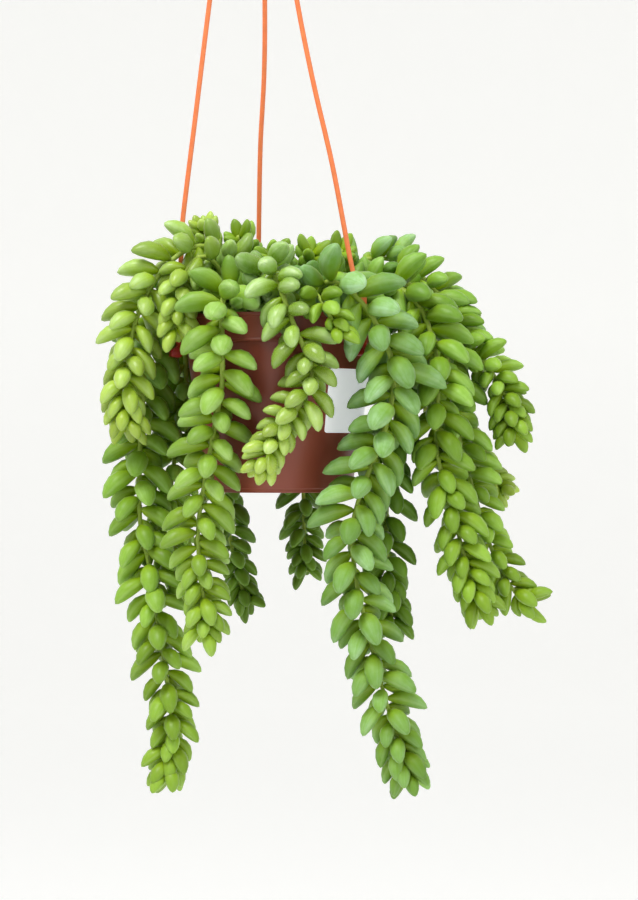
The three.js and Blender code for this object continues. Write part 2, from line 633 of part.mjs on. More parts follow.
// A leaf's few corners, ring by ring: flat on the side towards the stem's tip, with a ridge along its back
function leafRings(leaf) {
  const rings = leaf.length > SMALL_LEAF ? LONG_LEAF_RINGS : SHORT_LEAF_RINGS;
  return rings.map(([t, share]) => RING_CORNERS.map(([u, v]) => leafPoint(leaf, t,
    u * share * leaf.halfWidth, v * share * leaf.halfThickness)));
}

// Points over a leaf's skin, to test what it would touch
function leafSkin(leaf) {
  const points = [leafPoint(leaf, 1, 0, 0), ...leafRings(leaf).flat()];
  for (const t of [0.2, 0.35, 0.5, 0.65, 0.8, 0.92]) {
    const share = leafProfile(t);
    for (let k = 0; k < 6; k += 1) {
      const turn = Math.PI * k / 3;
      points.push(leafPoint(leaf, t, leaf.halfWidth * share * Math.cos(turn),
        leaf.halfThickness * share * Math.sin(turn)));
    }
  }
  return points;
}

function insideLeaf(leaf, point) {
  const offset = point.clone().sub(leaf.foot);
  const t = offset.dot(leaf.along) / leaf.length;
  if (t < 0.03 || t > 1 + CLEARANCE / leaf.length) return false;
  const share = leafProfile(Math.min(t, 0.97));
  const u = offset.dot(leaf.flat) / (leaf.halfWidth * share + CLEARANCE);
  const v = (offset.dot(leaf.bulge) - arched(leaf, t)) / (leaf.halfThickness * share + CLEARANCE);
  return u * u + v * v < 1;
}

// Whether a point lies in the pot's wall, in the soil or too close to either
function insidePot(point) {
  const radius = Math.hypot(point.x, point.y);
  if (point.z > POT_HEIGHT + 1 || point.z < -1) return false;
  if (radius > potRadius(point.z) + 1.3) return false;
  const overSoil = point.z > SOIL_TOP + SOIL_DOME + 1 && radius < RIM_RADIUS - 3.5;
  return !overSoil;
}

// Balls along the bars that leaves must clear: other stems, the strands and the clips
function ballsAlong(carried, step, radius) {
  const distances = evenly(0, carried.total, step);
  return distances.map((distance) => ({ centre: placeOn(carried, distance).point, radius }));
}

function clipBalls({ turn }) {
  const balls = [];
  for (const across of [-3, 0, 3]) {
    for (let z = BAND_BOTTOM - CLIP_DROP; z <= CLIP_TOP; z += 3) {
      const centre = new THREE.Vector3(LIP_RADIUS + 2, across, z).applyAxisAngle(UP, rad(turn));
      balls.push({ centre, radius: z < BAND_BOTTOM ? 5 : 2.4 });
    }
  }
  return balls;
}

function leafIsFree(leaf, owner, placed, balls) {
  const skin = leafSkin(leaf);
  if (skin.some(insidePot)) return false;
  const middle = leafPoint(leaf, 0.5, 0, 0);
  const reach = 0.6 * leaf.length;
  for (const ball of balls) {
    if (ball.owner === owner || middle.distanceTo(ball.centre) > reach + ball.radius + 1) continue;
    if (skin.some((point) => point.distanceTo(ball.centre) < ball.radius + CLEARANCE)) return false;
    if (insideLeaf(leaf, ball.centre)) return false;
  }
  for (const other of placed) {
    if (other.owner === owner || middle.distanceTo(other.middle) > reach + 0.6 * other.length) continue;
    if (skin.some((point) => insideLeaf(other, point))) return false;
    if (other.skin.some((point) => insideLeaf(leaf, point))) return false;
  }
  return true;
}

// Ways to clear a neighbour, in the order tried: a turn round the stem, a change of splay, a smaller leaf
const TRIES = [[0, 0, 1], [14, 0, 1], [-14, 0, 1], [0, -12, 0.95], [0, 12, 0.95], [24, -8, 0.9],
  [-24, -8, 0.9], [0, -20, 0.85], [18, 0, 0.72], [-18, 0, 0.72], [0, -24, 0.6]];

// Two of every three places of the spiral stay open, which keeps the joined solid light
function leavesOf(stem, carried, placed, balls) {
  const draw = seeded(stem.seed);
  const leaves = [];
  let distance = stem.bare;
  for (let number = 0; distance < carried.total - 0.8; number += 1) {
    const size = leafSize(stem, carried, distance) * (1 + SIZE_SPREAD * (2 * draw() - 1));
    const turn = DIVERGENCE * number + TURN_SPREAD * (2 * draw() - 1);
    const closing = TIP_CLOSING * Math.max(0, 1 - (carried.total - distance) / (CLOSING_LENGTHS * stem.leaf));
    const share = (distance - stem.bare) / (carried.total - stem.bare);
    const opened = stem.splay[0] + (stem.splay[1] - stem.splay[0]) * share;
    const splay = opened - closing + SPLAY_SPREAD * (2 * draw() - 1);
    if (number % 3 === 0) {
      for (const [turned, lifted, scaled] of TRIES) {
        const leaf = leafAt(stem, carried, distance, rad(turn + turned), rad(splay + lifted), size * scaled);
        if (!leafIsFree(leaf, stem.name, placed, balls)) continue;
        leaves.push({ ...leaf, owner: stem.name, middle: leafPoint(leaf, 0.5, 0, 0), skin: leafSkin(leaf) });
        break;
      }
    }
    const crowding = 1 - TIP_CROWDING * (1 - toTip(stem, carried, share));
    distance += stem.spacing * size * (START_SPACING - LOST_SPACING * share) * crowding;
  }
  return leaves;
}

function leafSolid(leaf) {
  const ends = [0, 1].map((t) => [leafPoint(leaf, t, 0, 0)]);
  return solid(geometryFromRings([ends[0], ...leafRings(leaf), ends[1]]));
}

function stemSolid(stem, carried, leaves) {
  const section = (_, distance) => circle(stemRadiusAt(carried, distance), STEM_SIDES);
  const bar = sweptBar(carried, evenly(0, carried.total, STEM_STEP), section);
  return wasm.Manifold.union([solid(bar), ...leaves.map(leafSolid)]);
}

function meshOf(name, made, colour, roughness) {
  const geometry = outerGeometry(made);
  geometry.translate(-HANG.x, -HANG.y, -HANG.z);
  geometry.computeVertexNormals();
  const material = new THREE.MeshStandardMaterial({ color: colour, roughness, metalness: 0 });
  const mesh = new THREE.Mesh(geometry, material);
  mesh.name = name;
  return mesh;
}

function plantMeshes() {
  const carriedStems = STEMS.map(stemLine);
  const balls = STEMS.flatMap((stem, i) => ballsAlong(carriedStems[i], BALL_STEP, STEM_RADIUS)
    .map((ball) => ({ ...ball, owner: stem.name })));
  for (const strand of STRANDS) {
    const carried = carriedLine(strandLine(strand), RIGHT);
    balls.push(...ballsAlong(carried, STRAND_BALL_STEP, 0.5 * STRAND_WIDTH), ...clipBalls(strand));
  }
  const placed = [];
  return STEMS.map((stem, i) => {
    const leaves = leavesOf(stem, carriedStems[i], placed, balls);
    placed.push(...leaves);
    return meshOf(stem.name, stemSolid(stem, carriedStems[i], leaves), stem.tint, 0.45);
  });
}

const part = new THREE.Group();
part.add(meshOf('pot', potSolid(), 0xa85a45, 0.4));
part.add(meshOf('soil', soilSolid(), 0x3a2a20, 0.95));
part.add(meshOf('label', labelSolid(), 0xf2f2f0, 0.6));
part.add(meshOf('hook', hookSolid(), 0xee7444, 0.4));
for (const strand of STRANDS) part.add(meshOf(strand.name, strandSolid(strand), 0xee7444, 0.4));
part.add(...plantMeshes());

export default part;
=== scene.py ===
import math

import bpy
import numpy as np
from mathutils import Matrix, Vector


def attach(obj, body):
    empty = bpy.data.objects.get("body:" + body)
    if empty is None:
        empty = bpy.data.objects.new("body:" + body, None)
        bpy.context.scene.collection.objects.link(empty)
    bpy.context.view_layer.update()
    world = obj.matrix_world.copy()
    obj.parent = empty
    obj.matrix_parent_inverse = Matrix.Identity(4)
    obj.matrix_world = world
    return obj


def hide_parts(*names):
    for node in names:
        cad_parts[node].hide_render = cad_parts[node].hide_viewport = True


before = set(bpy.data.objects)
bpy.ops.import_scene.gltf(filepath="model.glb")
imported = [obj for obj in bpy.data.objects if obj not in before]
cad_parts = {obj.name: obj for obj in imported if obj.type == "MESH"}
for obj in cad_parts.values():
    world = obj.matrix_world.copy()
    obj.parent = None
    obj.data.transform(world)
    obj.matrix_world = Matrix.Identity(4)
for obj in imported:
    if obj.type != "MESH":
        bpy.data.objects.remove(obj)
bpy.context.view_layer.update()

bl_info = {
    "name": "Hanging Burro's Tail",
    "version": (1, 0, 0),
    "blender": (4, 5, 0),
    "location": "View3D > Sidebar > Plant",
    "description": "Dresses a packed trailing succulent in its hanging pot with leaves, plastic and soil",
    "category": "Object",
}

# Pot, in millimetres from the foot up, with the pot's axis at X = Y = 0
POT_HEIGHT = 105.0
RIM_RADIUS = 59.9
LIP_RADIUS = 60.7
LIP_HEIGHT = 2.6
LIP_SLOPE = 0.3
BAND_BOTTOM = 88.0
BAND_STEP = 1.9
BEAD_HEIGHT = 1.5
BEAD_DEPTH = 0.5
BEAD_SLOPES = (0.2, 0.4)
BASE_RADIUS = 43.6
BODY_TOP_RADIUS = 56.6
FOOT_INSET = 0.9
FOOT_HEIGHT = 2.6
FOOT_SLOPE = 0.4
FOOT_RING = 8.0
FLOOR_UNDERSIDE = 1.6
WALL = 1.2
POT_EDGE = 0.5
POT_SIDES = 144
DRAIN_RADIUS = 3.5
DRAIN_CIRCLE = 24.0
DRAIN_COUNT = 6
DRAIN_SIDES = 24

# Gap between touching pieces, and the soil: its crown, its ripples as waves in radians to a millimetre, and
# its loose crumbs. A pair is the least of what is drawn at random and how much more it may be
SEAT = 0.3
SOIL_TOP = 96.0
SOIL_DOME = 2.5
SOIL_CROWN = 3.5
SOIL_EDGE_DROP = 1.5
SOIL_SHOULDER = 2.0
SOIL_SIDES = 120
SOIL_RINGS = 46
SOIL_RING_GAPS = (0.4, 0.6)
SOIL_SEED = 907
WAVES = 14
WAVE_RATES = (0.5, 1.3)
WAVE_HEIGHT = 0.18
WAVE_SINK = 0.6
CRUMBS = 620
CRUMB_SEED = 613
CRUMB_INSET = 2.0
CRUMB_SIZES = (0.7, 1.5)
CRUMB_STRETCH = (0.7, 0.6)
CRUMB_CORNERS = (0.8, 0.4)
CRUMB_LIFT = 0.1
HOLE_DEPTH = 11.0
STEM_RISE = (1, 8)

# Label
LABEL_HEIGHT = 37.5
LABEL_BOTTOM = 35.2
LABEL_START = 33.0
LABEL_ARC = 51.0
LABEL_THICKNESS = 0.3
LABEL_CORNER = 1.6
LABEL_COLUMNS = 49
LABEL_ROWS = 41

# Hanger. The hook's way is given as parts of its radius aside and millimetres up from the hub's top, then an
# arc, and the clip's side edges as distances in from the side with the section's share there
HUB_X = -14.5
HUB_BOTTOM = 463.0
HUB_HEIGHT = 9.0
HUB_TOP = HUB_BOTTOM + HUB_HEIGHT
HUB_RADIUS = 8.5
HUB_SHOULDER = (2.5, 1.5)
HUB_EDGE = 0.8
HUB_SIDES = 64
HUB_CIRCLE = 4.6
SOCKET_DEPTH = 6.0
SOCKET_APPROACH = (-30, -8)
BAR_RADIUS = 2.3
HOOK_RADIUS = 13.0
HOOK_RISE = 28.0
HOOK_WAY = [(0, -3), (0, 3), (0, 7), (-0.45, 14), (-0.9, 20)]
HOOK_ARC = (180, -15)
HOOK_POINTS = 11
HOOK_STEP = 1.8
HOOK_SIDES = 16
STRAND_WIDTH = 3.0
STRAND_THICKNESS = 1.8
STRAND_STEP = 6
STRAND_SIDES = 12
STRAND_RIB = 0.18
STRAND_END = 0.8
CLIP_WIDTH = 9.0
CLIP_PLATE = 1.7
CLIP_TOP = 118.0
CLIP_ROOT = 6.0
CLIP_FOOT_DEPTH = 6.0
CLIP_DROP = 7.6
CLIP_LEDGE = (1.0, 1.8)
CLIP_FOOT = (0.6, 4.2)
CLIP_SHOULDER = 1.0
CLIP_EDGE = 0.7
CLIP_SIDES = [(0, 0.93), (0.25, 0.98), (0.8, 1.0)]
# The clip's painted deep red shade: how far above the band's bottom it begins, and over how much it grows to
# full
RED_START = 6.0
RED_FADE = 8.0

# The photograph: a level camera, its picture centre and its scale at the pot's axis
PICTURE_HEIGHT = 900
PICTURE_X = 319
PICTURE_Y = 450
PIXELS_PER_MM = 1.66
CAMERA_DISTANCE = 1400.0
CAMERA_X = 23.5
CAMERA_Z = 25.1

# Leaves: the turn from one to the next, the spacing as a share of leaf length, and the leaf's form
DIVERGENCE = 137.508
CLOSE_SPACING = 0.1
SPACING = 0.118
WIDE_SPACING = 0.145
WIDTH_BASE = 2.3
WIDTH_SHARE = 0.2
NARROWING = 0.25
THICKNESS_OF_WIDTH = 0.86
INNER_FLATNESS = 0.88
ARCH = 0.1
SIZE_SPREAD = 0.15
TURN_SPREAD = 18.0
SPLAY_SPREAD = 12.0
TIP_CLOSING = 10.0
TIP_MARGIN = 0.8
SMALL_LEAF = 17.0
STEM_RADIUS = 1.8
STEM_TIP_RADIUS = 1.1
STEM_STEP = 4
LEAF_SINK = 0.3
CURVE_STEPS = 8
LEAF_SIDES = 10
LEAF_RINGS = (0.04, 0.17, 0.38, 0.6, 0.8, 0.94)
OLD_PART = 0.5

# Leaf size along a stem: the first leaf's share, the full share, the share lost by the end, the last leaf's
# share and how fast it falls to that. Then the stretches where leaves grow, shrink and close, in leaf lengths
# and as a part of the leafy stem, the spacing's share at the start with the share it loses, and how far the
# tip's leaves crowd
FIRST_SHARE = 0.72
FULL_SHARE = 1.08
LOST_SHARE = 0.28
TIP_SHARE = 0.64
TIP_POWER = 0.8
GROWING_LENGTHS = 2.4
SHRINKING_LENGTHS = 2.2
CLOSING_LENGTHS = 1.6
GROWING_PART = 0.4
SHRINKING_PART = 0.5
START_SPACING = 1.2
LOST_SPACING = 0.25
TIP_CROWDING = 0.35

# Touch tests: rings over a leaf, as places along it and shares of its size, the corners of the broad ones,
# the leaf's reach from its middle, what it keeps clear, and the balls that stand for stems, strands and clips
LONG_LEAF_RINGS = [(0.4, 1.02), (0.76, 0.96)]
SHORT_LEAF_RINGS = [(0.58, 1.12)]
RING_CORNERS = [(1, -0.3), (0, 1), (-1, -0.3)]
SKIN_RINGS = (0.2, 0.35, 0.5, 0.65, 0.8, 0.92)
SKIN_CORNERS = 6
TESTED_PART = (0.03, 0.97)
LEAF_REACH = 0.6
NEAR_MARGIN = 1.0
CLEARANCE = 0.6
POT_MARGIN = 1.0
WALL_MARGIN = 1.3
RIM_MARGIN = 3.5
BALL_STEP = 2.5
STRAND_BALL_STEP = 2
CLIP_BALL_STEP = 3
CLIP_BALL_OUT = 2
CLIP_BALL_RADII = (2.4, 5)

# The even sequence of random numbers
DRAW_FACTOR = 1664525
DRAW_STEP = 1013904223
DRAW_RANGE = 4294967296

HANG = np.array([HUB_X, 0.0, HUB_TOP + HOOK_RISE + HOOK_RADIUS - BAR_RADIUS])
RIGHT = np.array([1.0, 0.0, 0.0])
BACK = np.array([0.0, 1.0, 0.0])
MM = 0.001

# Stems, nearest the eye first: name, seed, root, bare start, leaf length, splay at the start and at the tip,
# spacing, leaf finish, and the way as picture x, picture y and depth from the crest to the tip
STEMS = [
    ("front_right_long", 11, (13, -15), 26, 28, (61, 50), SPACING, "glaucous_leaf",
     [(316, 298, -38), (327, 282, -52), (349, 290, -62), (370, 314, -65), (385, 342, -64),
      (394, 372, -63), (389, 415, -62), (377, 452, -62), (362, 490, -62), (352, 530, -62),
      (355, 572, -61), (363, 612, -60), (375, 660, -60), (389, 712, -60), (402, 752, -60),
      (410, 778, -60)]),
    ("front_left", 23, (-22, -22), 18, 25.5, (76, 56), SPACING, "pale_leaf",
     [(238, 302, -34), (229, 288, -50), (222, 305, -62), (222, 340, -66), (222, 385, -64),
      (214, 430, -60), (205, 480, -56), (198, 530, -52), (201, 580, -50), (205, 610, -49),
      (204, 634, -48)]),
    ("front_centre", 37, (-7, -24), 14, 22, (66, 56), SPACING, "turning_leaf",
     [(266, 294, -38), (268, 270, -46), (272, 268, -56), (281, 290, -68), (292, 320, -73), (303, 346, -74),
      (312, 374, -74), (302, 402, -72), (286, 422, -72), (271, 446, -71), (262, 470, -69)]),
    ("left_upper", 41, (-27, -10), 30, 25, (64, 50), SPACING, "lime_leaf",
     [(232, 286, -14), (219, 253, -19), (194, 247, -26), (166, 266, -31), (144, 300, -35),
      (131, 340, -37), (127, 378, -38), (126, 410, -38), (127, 427, -38)]),
    ("left_long", 53, (-38, 8), 22, 26, (60, 48), SPACING, "green_leaf",
     [(208, 296, 8), (190, 278, 8), (166, 300, 6), (150, 345, 2), (143, 400, -2), (140, 450, -6),
      (140, 520, -9), (149, 565, -10), (157, 620, -10), (167, 680, -10), (172, 735, -10),
      (166, 778, -10)]),
    ("right_outer", 67, (31, -13), 18, 25.5, (60, 48), SPACING, "green_leaf",
     [(372, 288, -14), (396, 286, -20), (420, 308, -27), (434, 345, -33), (438, 390, -37),
      (436, 440, -38), (443, 480, -38), (454, 516, -38), (463, 552, -38), (474, 588, -37),
      (480, 608, -36)]),
    ("front_middle", 71, (3, -26), 16, 23, (70, 56), WIDE_SPACING, "green_leaf",
     [(301, 302, -44), (309, 290, -58), (321, 300, -70), (332, 320, -77), (338, 336, -78)]),
    ("left_middle", 89, (-33, 24), 68, 23, (60, 48), SPACING, "green_leaf",
     [(212, 296, 27), (198, 290, 29), (187, 335, 28), (185, 400, 22), (176, 450, 14),
      (170, 500, 8), (172, 550, 6), (180, 590, 6)]),
    ("right_rear", 97, (41, 0), 22, 24, (64, 50), WIDE_SPACING, "green_leaf",
     [(384, 292, 2), (408, 284, 0), (432, 308, -2), (446, 350, -5), (452, 400, -8),
      (462, 450, -10), (476, 500, -12), (490, 545, -14), (505, 578, -15), (521, 598, -15),
      (531, 602, -15)]),
    ("right_curled", 103, (38, 14), 20, 22.5, (72, 60), CLOSE_SPACING, "green_leaf",
     [(376, 284, 16), (404, 274, 18), (434, 290, 18), (454, 326, 15), (470, 352, 8),
      (490, 370, 2), (504, 394, -3), (511, 418, -5), (514, 436, -6)]),
    ("right_inner", 113, (29, 2), 60, 24, (56, 44), WIDE_SPACING, "shaded_leaf",
     [(362, 292, -2), (382, 278, -8), (396, 304, -14), (401, 350, -18), (398, 400, -22),
      (391, 450, -25), (387, 500, -27), (387, 550, -28), (390, 600, -28), (392, 628, -28)]),
    ("top_right", 127, (24, 24), 14, 21, (66, 52), WIDE_SPACING, "glaucous_leaf",
     [(344, 296, 28), (354, 266, 31), (380, 258, 34), (410, 267, 35), (436, 291, 35),
      (457, 318, 33), (468, 333, 32)]),
    ("left_short", 229, (-26, -18), 10, 24, (66, 54), SPACING, "lime_leaf",
     [(228, 290, -22), (214, 262, -32), (197, 258, -37), (183, 278, -40), (177, 304, -41), (175, 331, -41)]),
    ("top_left", 131, (-34, -2), 10, 16.5, (64, 48), CLOSE_SPACING, "lime_leaf",
     [(222, 288, 0), (211, 254, -4), (203, 225, -12)]),
    ("top_back", 139, (-14, 14), 10, 20, (66, 52), SPACING, "green_leaf",
     [(254, 290, 14), (247, 262, 8), (238, 236, -3)]),
    ("top_centre", 149, (-7, 0), 10, 21, (72, 58), SPACING, "green_leaf",
     [(272, 292, -4), (273, 266, -15), (274, 258, -27)]),
    ("top_middle", 151, (8, 3), 10, 19, (66, 54), SPACING, "green_leaf",
     [(304, 292, 2), (309, 266, -6), (312, 252, -13)]),
    ("top_rear", 233, (18, 14), 10, 19, (66, 52), SPACING, "green_leaf",
     [(326, 292, 18), (333, 266, 12), (342, 250, 4)]),
    ("top_front", 163, (12, -6), 10, 18, (70, 56), SPACING, "glaucous_leaf",
     [(322, 294, -16), (329, 276, -28), (333, 272, -38)]),
    ("right_small", 173, (30, 30), 100, 19, (62, 50), WIDE_SPACING, "lime_leaf",
     [(364, 298, 38), (392, 290, 46), (420, 322, 46), (440, 370, 40), (454, 420, 32),
      (472, 458, 24), (494, 482, 18), (504, 490, 16)]),
    ("back_centre", 181, (3, 34), 70, 22, (64, 54), WIDE_SPACING, "shaded_leaf",
     [(300, 298, 54), (300, 288, 67), (300, 330, 77), (301, 400, 77), (303, 470, 75),
      (304, 530, 73), (306, 572, 71)]),
    ("back_left", 191, (-24, 34), 58, 21, (62, 52), WIDE_SPACING, "shaded_leaf",
     [(243, 300, 52), (236, 290, 62), (228, 330, 69), (225, 400, 67), (226, 470, 63),
      (229, 530, 58), (240, 582, 54), (249, 604, 52)]),
    ("back_right", 193, (22, 38), 30, 19, (56, 43), WIDE_SPACING, "shaded_leaf",
     [(336, 300, 56), (342, 292, 67), (346, 330, 75), (346, 390, 75), (345, 436, 73)]),
]

# Strands: name, the clip's turn on the rim, the socket's turn in the hub, and the way up in the picture
STRANDS = [
    ("left", 193, 180,
     [(182, 240, -12), (183.2, 215.6, -11), (196, 112, -9), (209.8, 0, -6), (227, -130, -3)]),
    ("right", 321, 300,
     [(350.8, 262, -36), (332.5, 165.8, -29), (313.4, 83, -23), (296.8, 0, -18), (275, -130, -10)]),
    ("back", 104, 60,
     [(258.7, 242, 50), (260.3, 149, 41), (264.1, 74.6, 34), (264.8, 0, 27), (263, -130, 15)]),
]

# Ways to clear a neighbour, in the order tried: a turn round the stem, a change of splay, a smaller leaf
TRIES = [(0, 0, 1), (14, 0, 1), (-14, 0, 1), (0, -12, 0.95), (0, 12, 0.95), (24, -8, 0.9),
         (-24, -8, 0.9), (0, -20, 0.85), (18, 0, 0.72), (-18, 0, 0.72), (0, -24, 0.6)]

# Leaf finishes: the slot, the foot's colour, the setting of the body's colour, the bloom's colour, how much
# bloom, and how yellow the youngest leaves are
LEAF_FINISHES = {
    "glaucous_leaf": ("glaucous_leaf", "#90B00A", "glaucous_body", "#9CC08E", 1.0, 0.05),
    "green_leaf": ("green_leaf", "#90B00A", "green_body", "#A0C66C", 0.66, 0.3),
    "pale_leaf": ("green_leaf", "#98B80E", "pale_body", "#AECB84", 0.8, 0.3),
    "turning_leaf": ("lime_leaf", "#8CAC0A", "green_body", "#BAD29A", 0.85, 1.0),
    "lime_leaf": ("lime_leaf", "#9EBC12", "lime_body", "#B4CE92", 0.75, 0.75),
    # The shaded finish is a darker copy of the green leaf: painted shade for the inner and back stems, which
    # stand in the others' shadow
    "shaded_leaf": ("shaded_leaf", "#648A12", "painted_shade_body", "#749A4E", 0.45, 0.1),
}
YOUNG_LEAF = "#A6C23C"

# Where most of a noise pattern's values lie
NOISE_SPAN = (0.3, 0.7)


def linear(hex_colour):
    """An sRGB hex colour as linear red, green, blue and a full alpha."""
    parts = [int(hex_colour[i:i + 2], 16) / 255 for i in (1, 3, 5)]
    return tuple(p / 12.92 if p <= 0.04045 else ((p + 0.055) / 1.055) ** 2.4 for p in parts) + (1.0,)


def placed(points):
    """Points in the pot's own millimetres, as metres in the frame that hangs from the hook."""
    return (np.asarray(points, float) - HANG) * MM


def unit(vectors):
    """Vectors divided by their lengths."""
    return vectors / np.linalg.norm(vectors, axis=-1, keepdims=True)


def circle(sides):
    """Even turns round a circle, as their cosines and sines."""
    turn = 2 * np.pi * np.arange(sides) / sides
    return np.cos(turn), np.sin(turn)


def spun(x, y, angle):
    """Two coordinates turned by an angle in radians."""
    return x * math.cos(angle) - y * math.sin(angle), x * math.sin(angle) + y * math.cos(angle)


def sighted(way):
    """Points of the photograph in pixels, with depths behind the pot's axis, as millimetres."""
    picture_x, picture_y, depth = np.asarray(way, float).T
    scale = PIXELS_PER_MM * CAMERA_DISTANCE / (CAMERA_DISTANCE + depth)
    return np.stack([CAMERA_X + (picture_x - PICTURE_X) / scale, depth,
                     CAMERA_Z - (picture_y - PICTURE_Y) / scale], axis=1)


def smooth_line(points):
    """A Catmull-Rom curve through the points, with the end points repeated as their own neighbours."""
    points = np.asarray(points, float)
    p0 = np.vstack([points[:1], points[:-2]])[:, None]
    p1 = points[:-1][:, None]
    p2 = points[1:][:, None]
    p3 = np.vstack([points[2:], points[-1:]])[:, None]
    t = (np.arange(CURVE_STEPS) / CURVE_STEPS)[None, :, None]
    curve = 0.5 * (2 * p1 + (p2 - p0) * t + (2 * p0 - 5 * p1 + 4 * p2 - p3) * t ** 2
                   + (3 * p1 - p0 - 3 * p2 + p3) * t ** 3)
    return np.vstack([curve.reshape(-1, 3), points[-1:]])


class CarriedLine:
    """A line with distances along it and a side direction that is carried along without twist."""

    def __init__(self, line, first_side):
        self.line = line
        steps = np.linalg.norm(np.diff(line, axis=0), axis=1)
        self.lengths = np.concatenate([[0.0], np.cumsum(steps)])
        self.total = self.lengths[-1]
        ahead = np.vstack([line[1:], line[-1:]])
        behind = np.vstack([line[:1], line[:-1]])
        self.forwards = unit(ahead - behind)
        self.sides = np.empty_like(line)
        side = first_side
        for i, forward in enumerate(self.forwards):
            side = unit(side - side.dot(forward) * forward)
            self.sides[i] = side

    def at(self, distances):
        """Point, forward, side and across directions at distances along the line."""
        distances = np.atleast_1d(np.asarray(distances, float))
        i = np.clip(np.searchsorted(self.lengths, distances), 1, len(self.line) - 1)
        share = ((distances - self.lengths[i - 1]) / (self.lengths[i] - self.lengths[i - 1]))[:, None]
        point, forward, side = (a[i - 1] + (a[i] - a[i - 1]) * share
                                for a in (self.line, self.forwards, self.sides))
        forward = unit(forward)
        side = unit(side - np.sum(side * forward, axis=1, keepdims=True) * forward)
        return point, forward, side, np.cross(forward, side)


def evenly(start, end, step):
    """Even stations from start to end, about a step apart."""
    return np.linspace(start, end, max(1, int((end - start) / step + 0.5)) + 1)


# The leaf rule


def seeded(seed):
    """An even sequence of numbers from 0 to 1: each state is the last one times a constant, plus another."""
    state = seed
    while True:
        state = (state * DRAW_FACTOR + DRAW_STEP) % DRAW_RANGE
        yield state / DRAW_RANGE


def between(pair, drawn):
    """A random size: the pair's least, and of its spread the share that was drawn."""
    least, spread = pair
    return least + spread * drawn


def leaf_profile(t):
    """Share of the widest at a length t, for testing what a leaf would touch: sin(pi t^0.85)^0.7."""
    return np.sin(np.pi * np.clip(t, 0, 1) ** 0.85) ** 0.7


class Leaf:
    """One leaf: its foot in the stem, its length, flat and bulge directions, and its size."""

    def __init__(self, stem, distance, turn, splay, length):
        point, forward, side, across = (a[0] for a in stem.carried.at(distance))
        outward = math.cos(turn) * side + math.sin(turn) * across
        self.along = math.cos(splay) * forward + math.sin(splay) * outward
        self.bulge = -math.sin(splay) * forward + math.cos(splay) * outward
        self.flat = np.cross(self.along, self.bulge)
        self.foot = point + outward * (LEAF_SINK * STEM_RADIUS)
        self.length = length
        self.share = distance / stem.carried.total
        self.half_width = (WIDTH_BASE + WIDTH_SHARE * length) * (1 - NARROWING * self.share)
        self.half_thickness = THICKNESS_OF_WIDTH * self.half_width
        self.owner = stem.name
        self.middle = self.points([0.5], [0.0], [0.0])[0]
        self.skin = self.skin_points()

    def arched(self, t):
        """How far the leaf's middle line bows outwards at a length t: 4t(1-t) times its arch."""
        return ARCH * self.length * 4 * t * (1 - t)

    def points(self, t, u, v):
        """Points at lengths t, with offsets u to the side and v outwards."""
        t, u, v = (np.asarray(a, float)[:, None] for a in (t, u, v))
        return self.foot + self.along * (self.length * t) + self.flat * u + self.bulge * (v + self.arched(t))

    def skin_points(self):
        """Points over the leaf's skin: its tip, its broad corners and rings of six."""
        width, thick = self.half_width, self.half_thickness
        rows = [(1.0, 0.0, 0.0)]
        for t, share in LONG_LEAF_RINGS if self.length > SMALL_LEAF else SHORT_LEAF_RINGS:
            rows += [(t, u * share * width, v * share * thick) for u, v in RING_CORNERS]
        side, out = circle(SKIN_CORNERS)
        for t in SKIN_RINGS:
            share = leaf_profile(t)
            rows += [(t, width * share * u, thick * share * v) for u, v in zip(side, out)]
        return self.points(*np.array(rows).T)

    def holds(self, points):
        """Which points lie in the leaf or closer to it than the clearance."""
        foot_end, tip_start = TESTED_PART
        offset = points - self.foot
        t = offset @ self.along / self.length
        inside = (t >= foot_end) & (t <= 1 + CLEARANCE / self.length)
        share = leaf_profile(np.minimum(t, tip_start))
        u = offset @ self.flat / (self.half_width * share + CLEARANCE)
        v = (offset @ self.bulge - self.arched(t)) / (self.half_thickness * share + CLEARANCE)
        return inside & (u * u + v * v < 1)


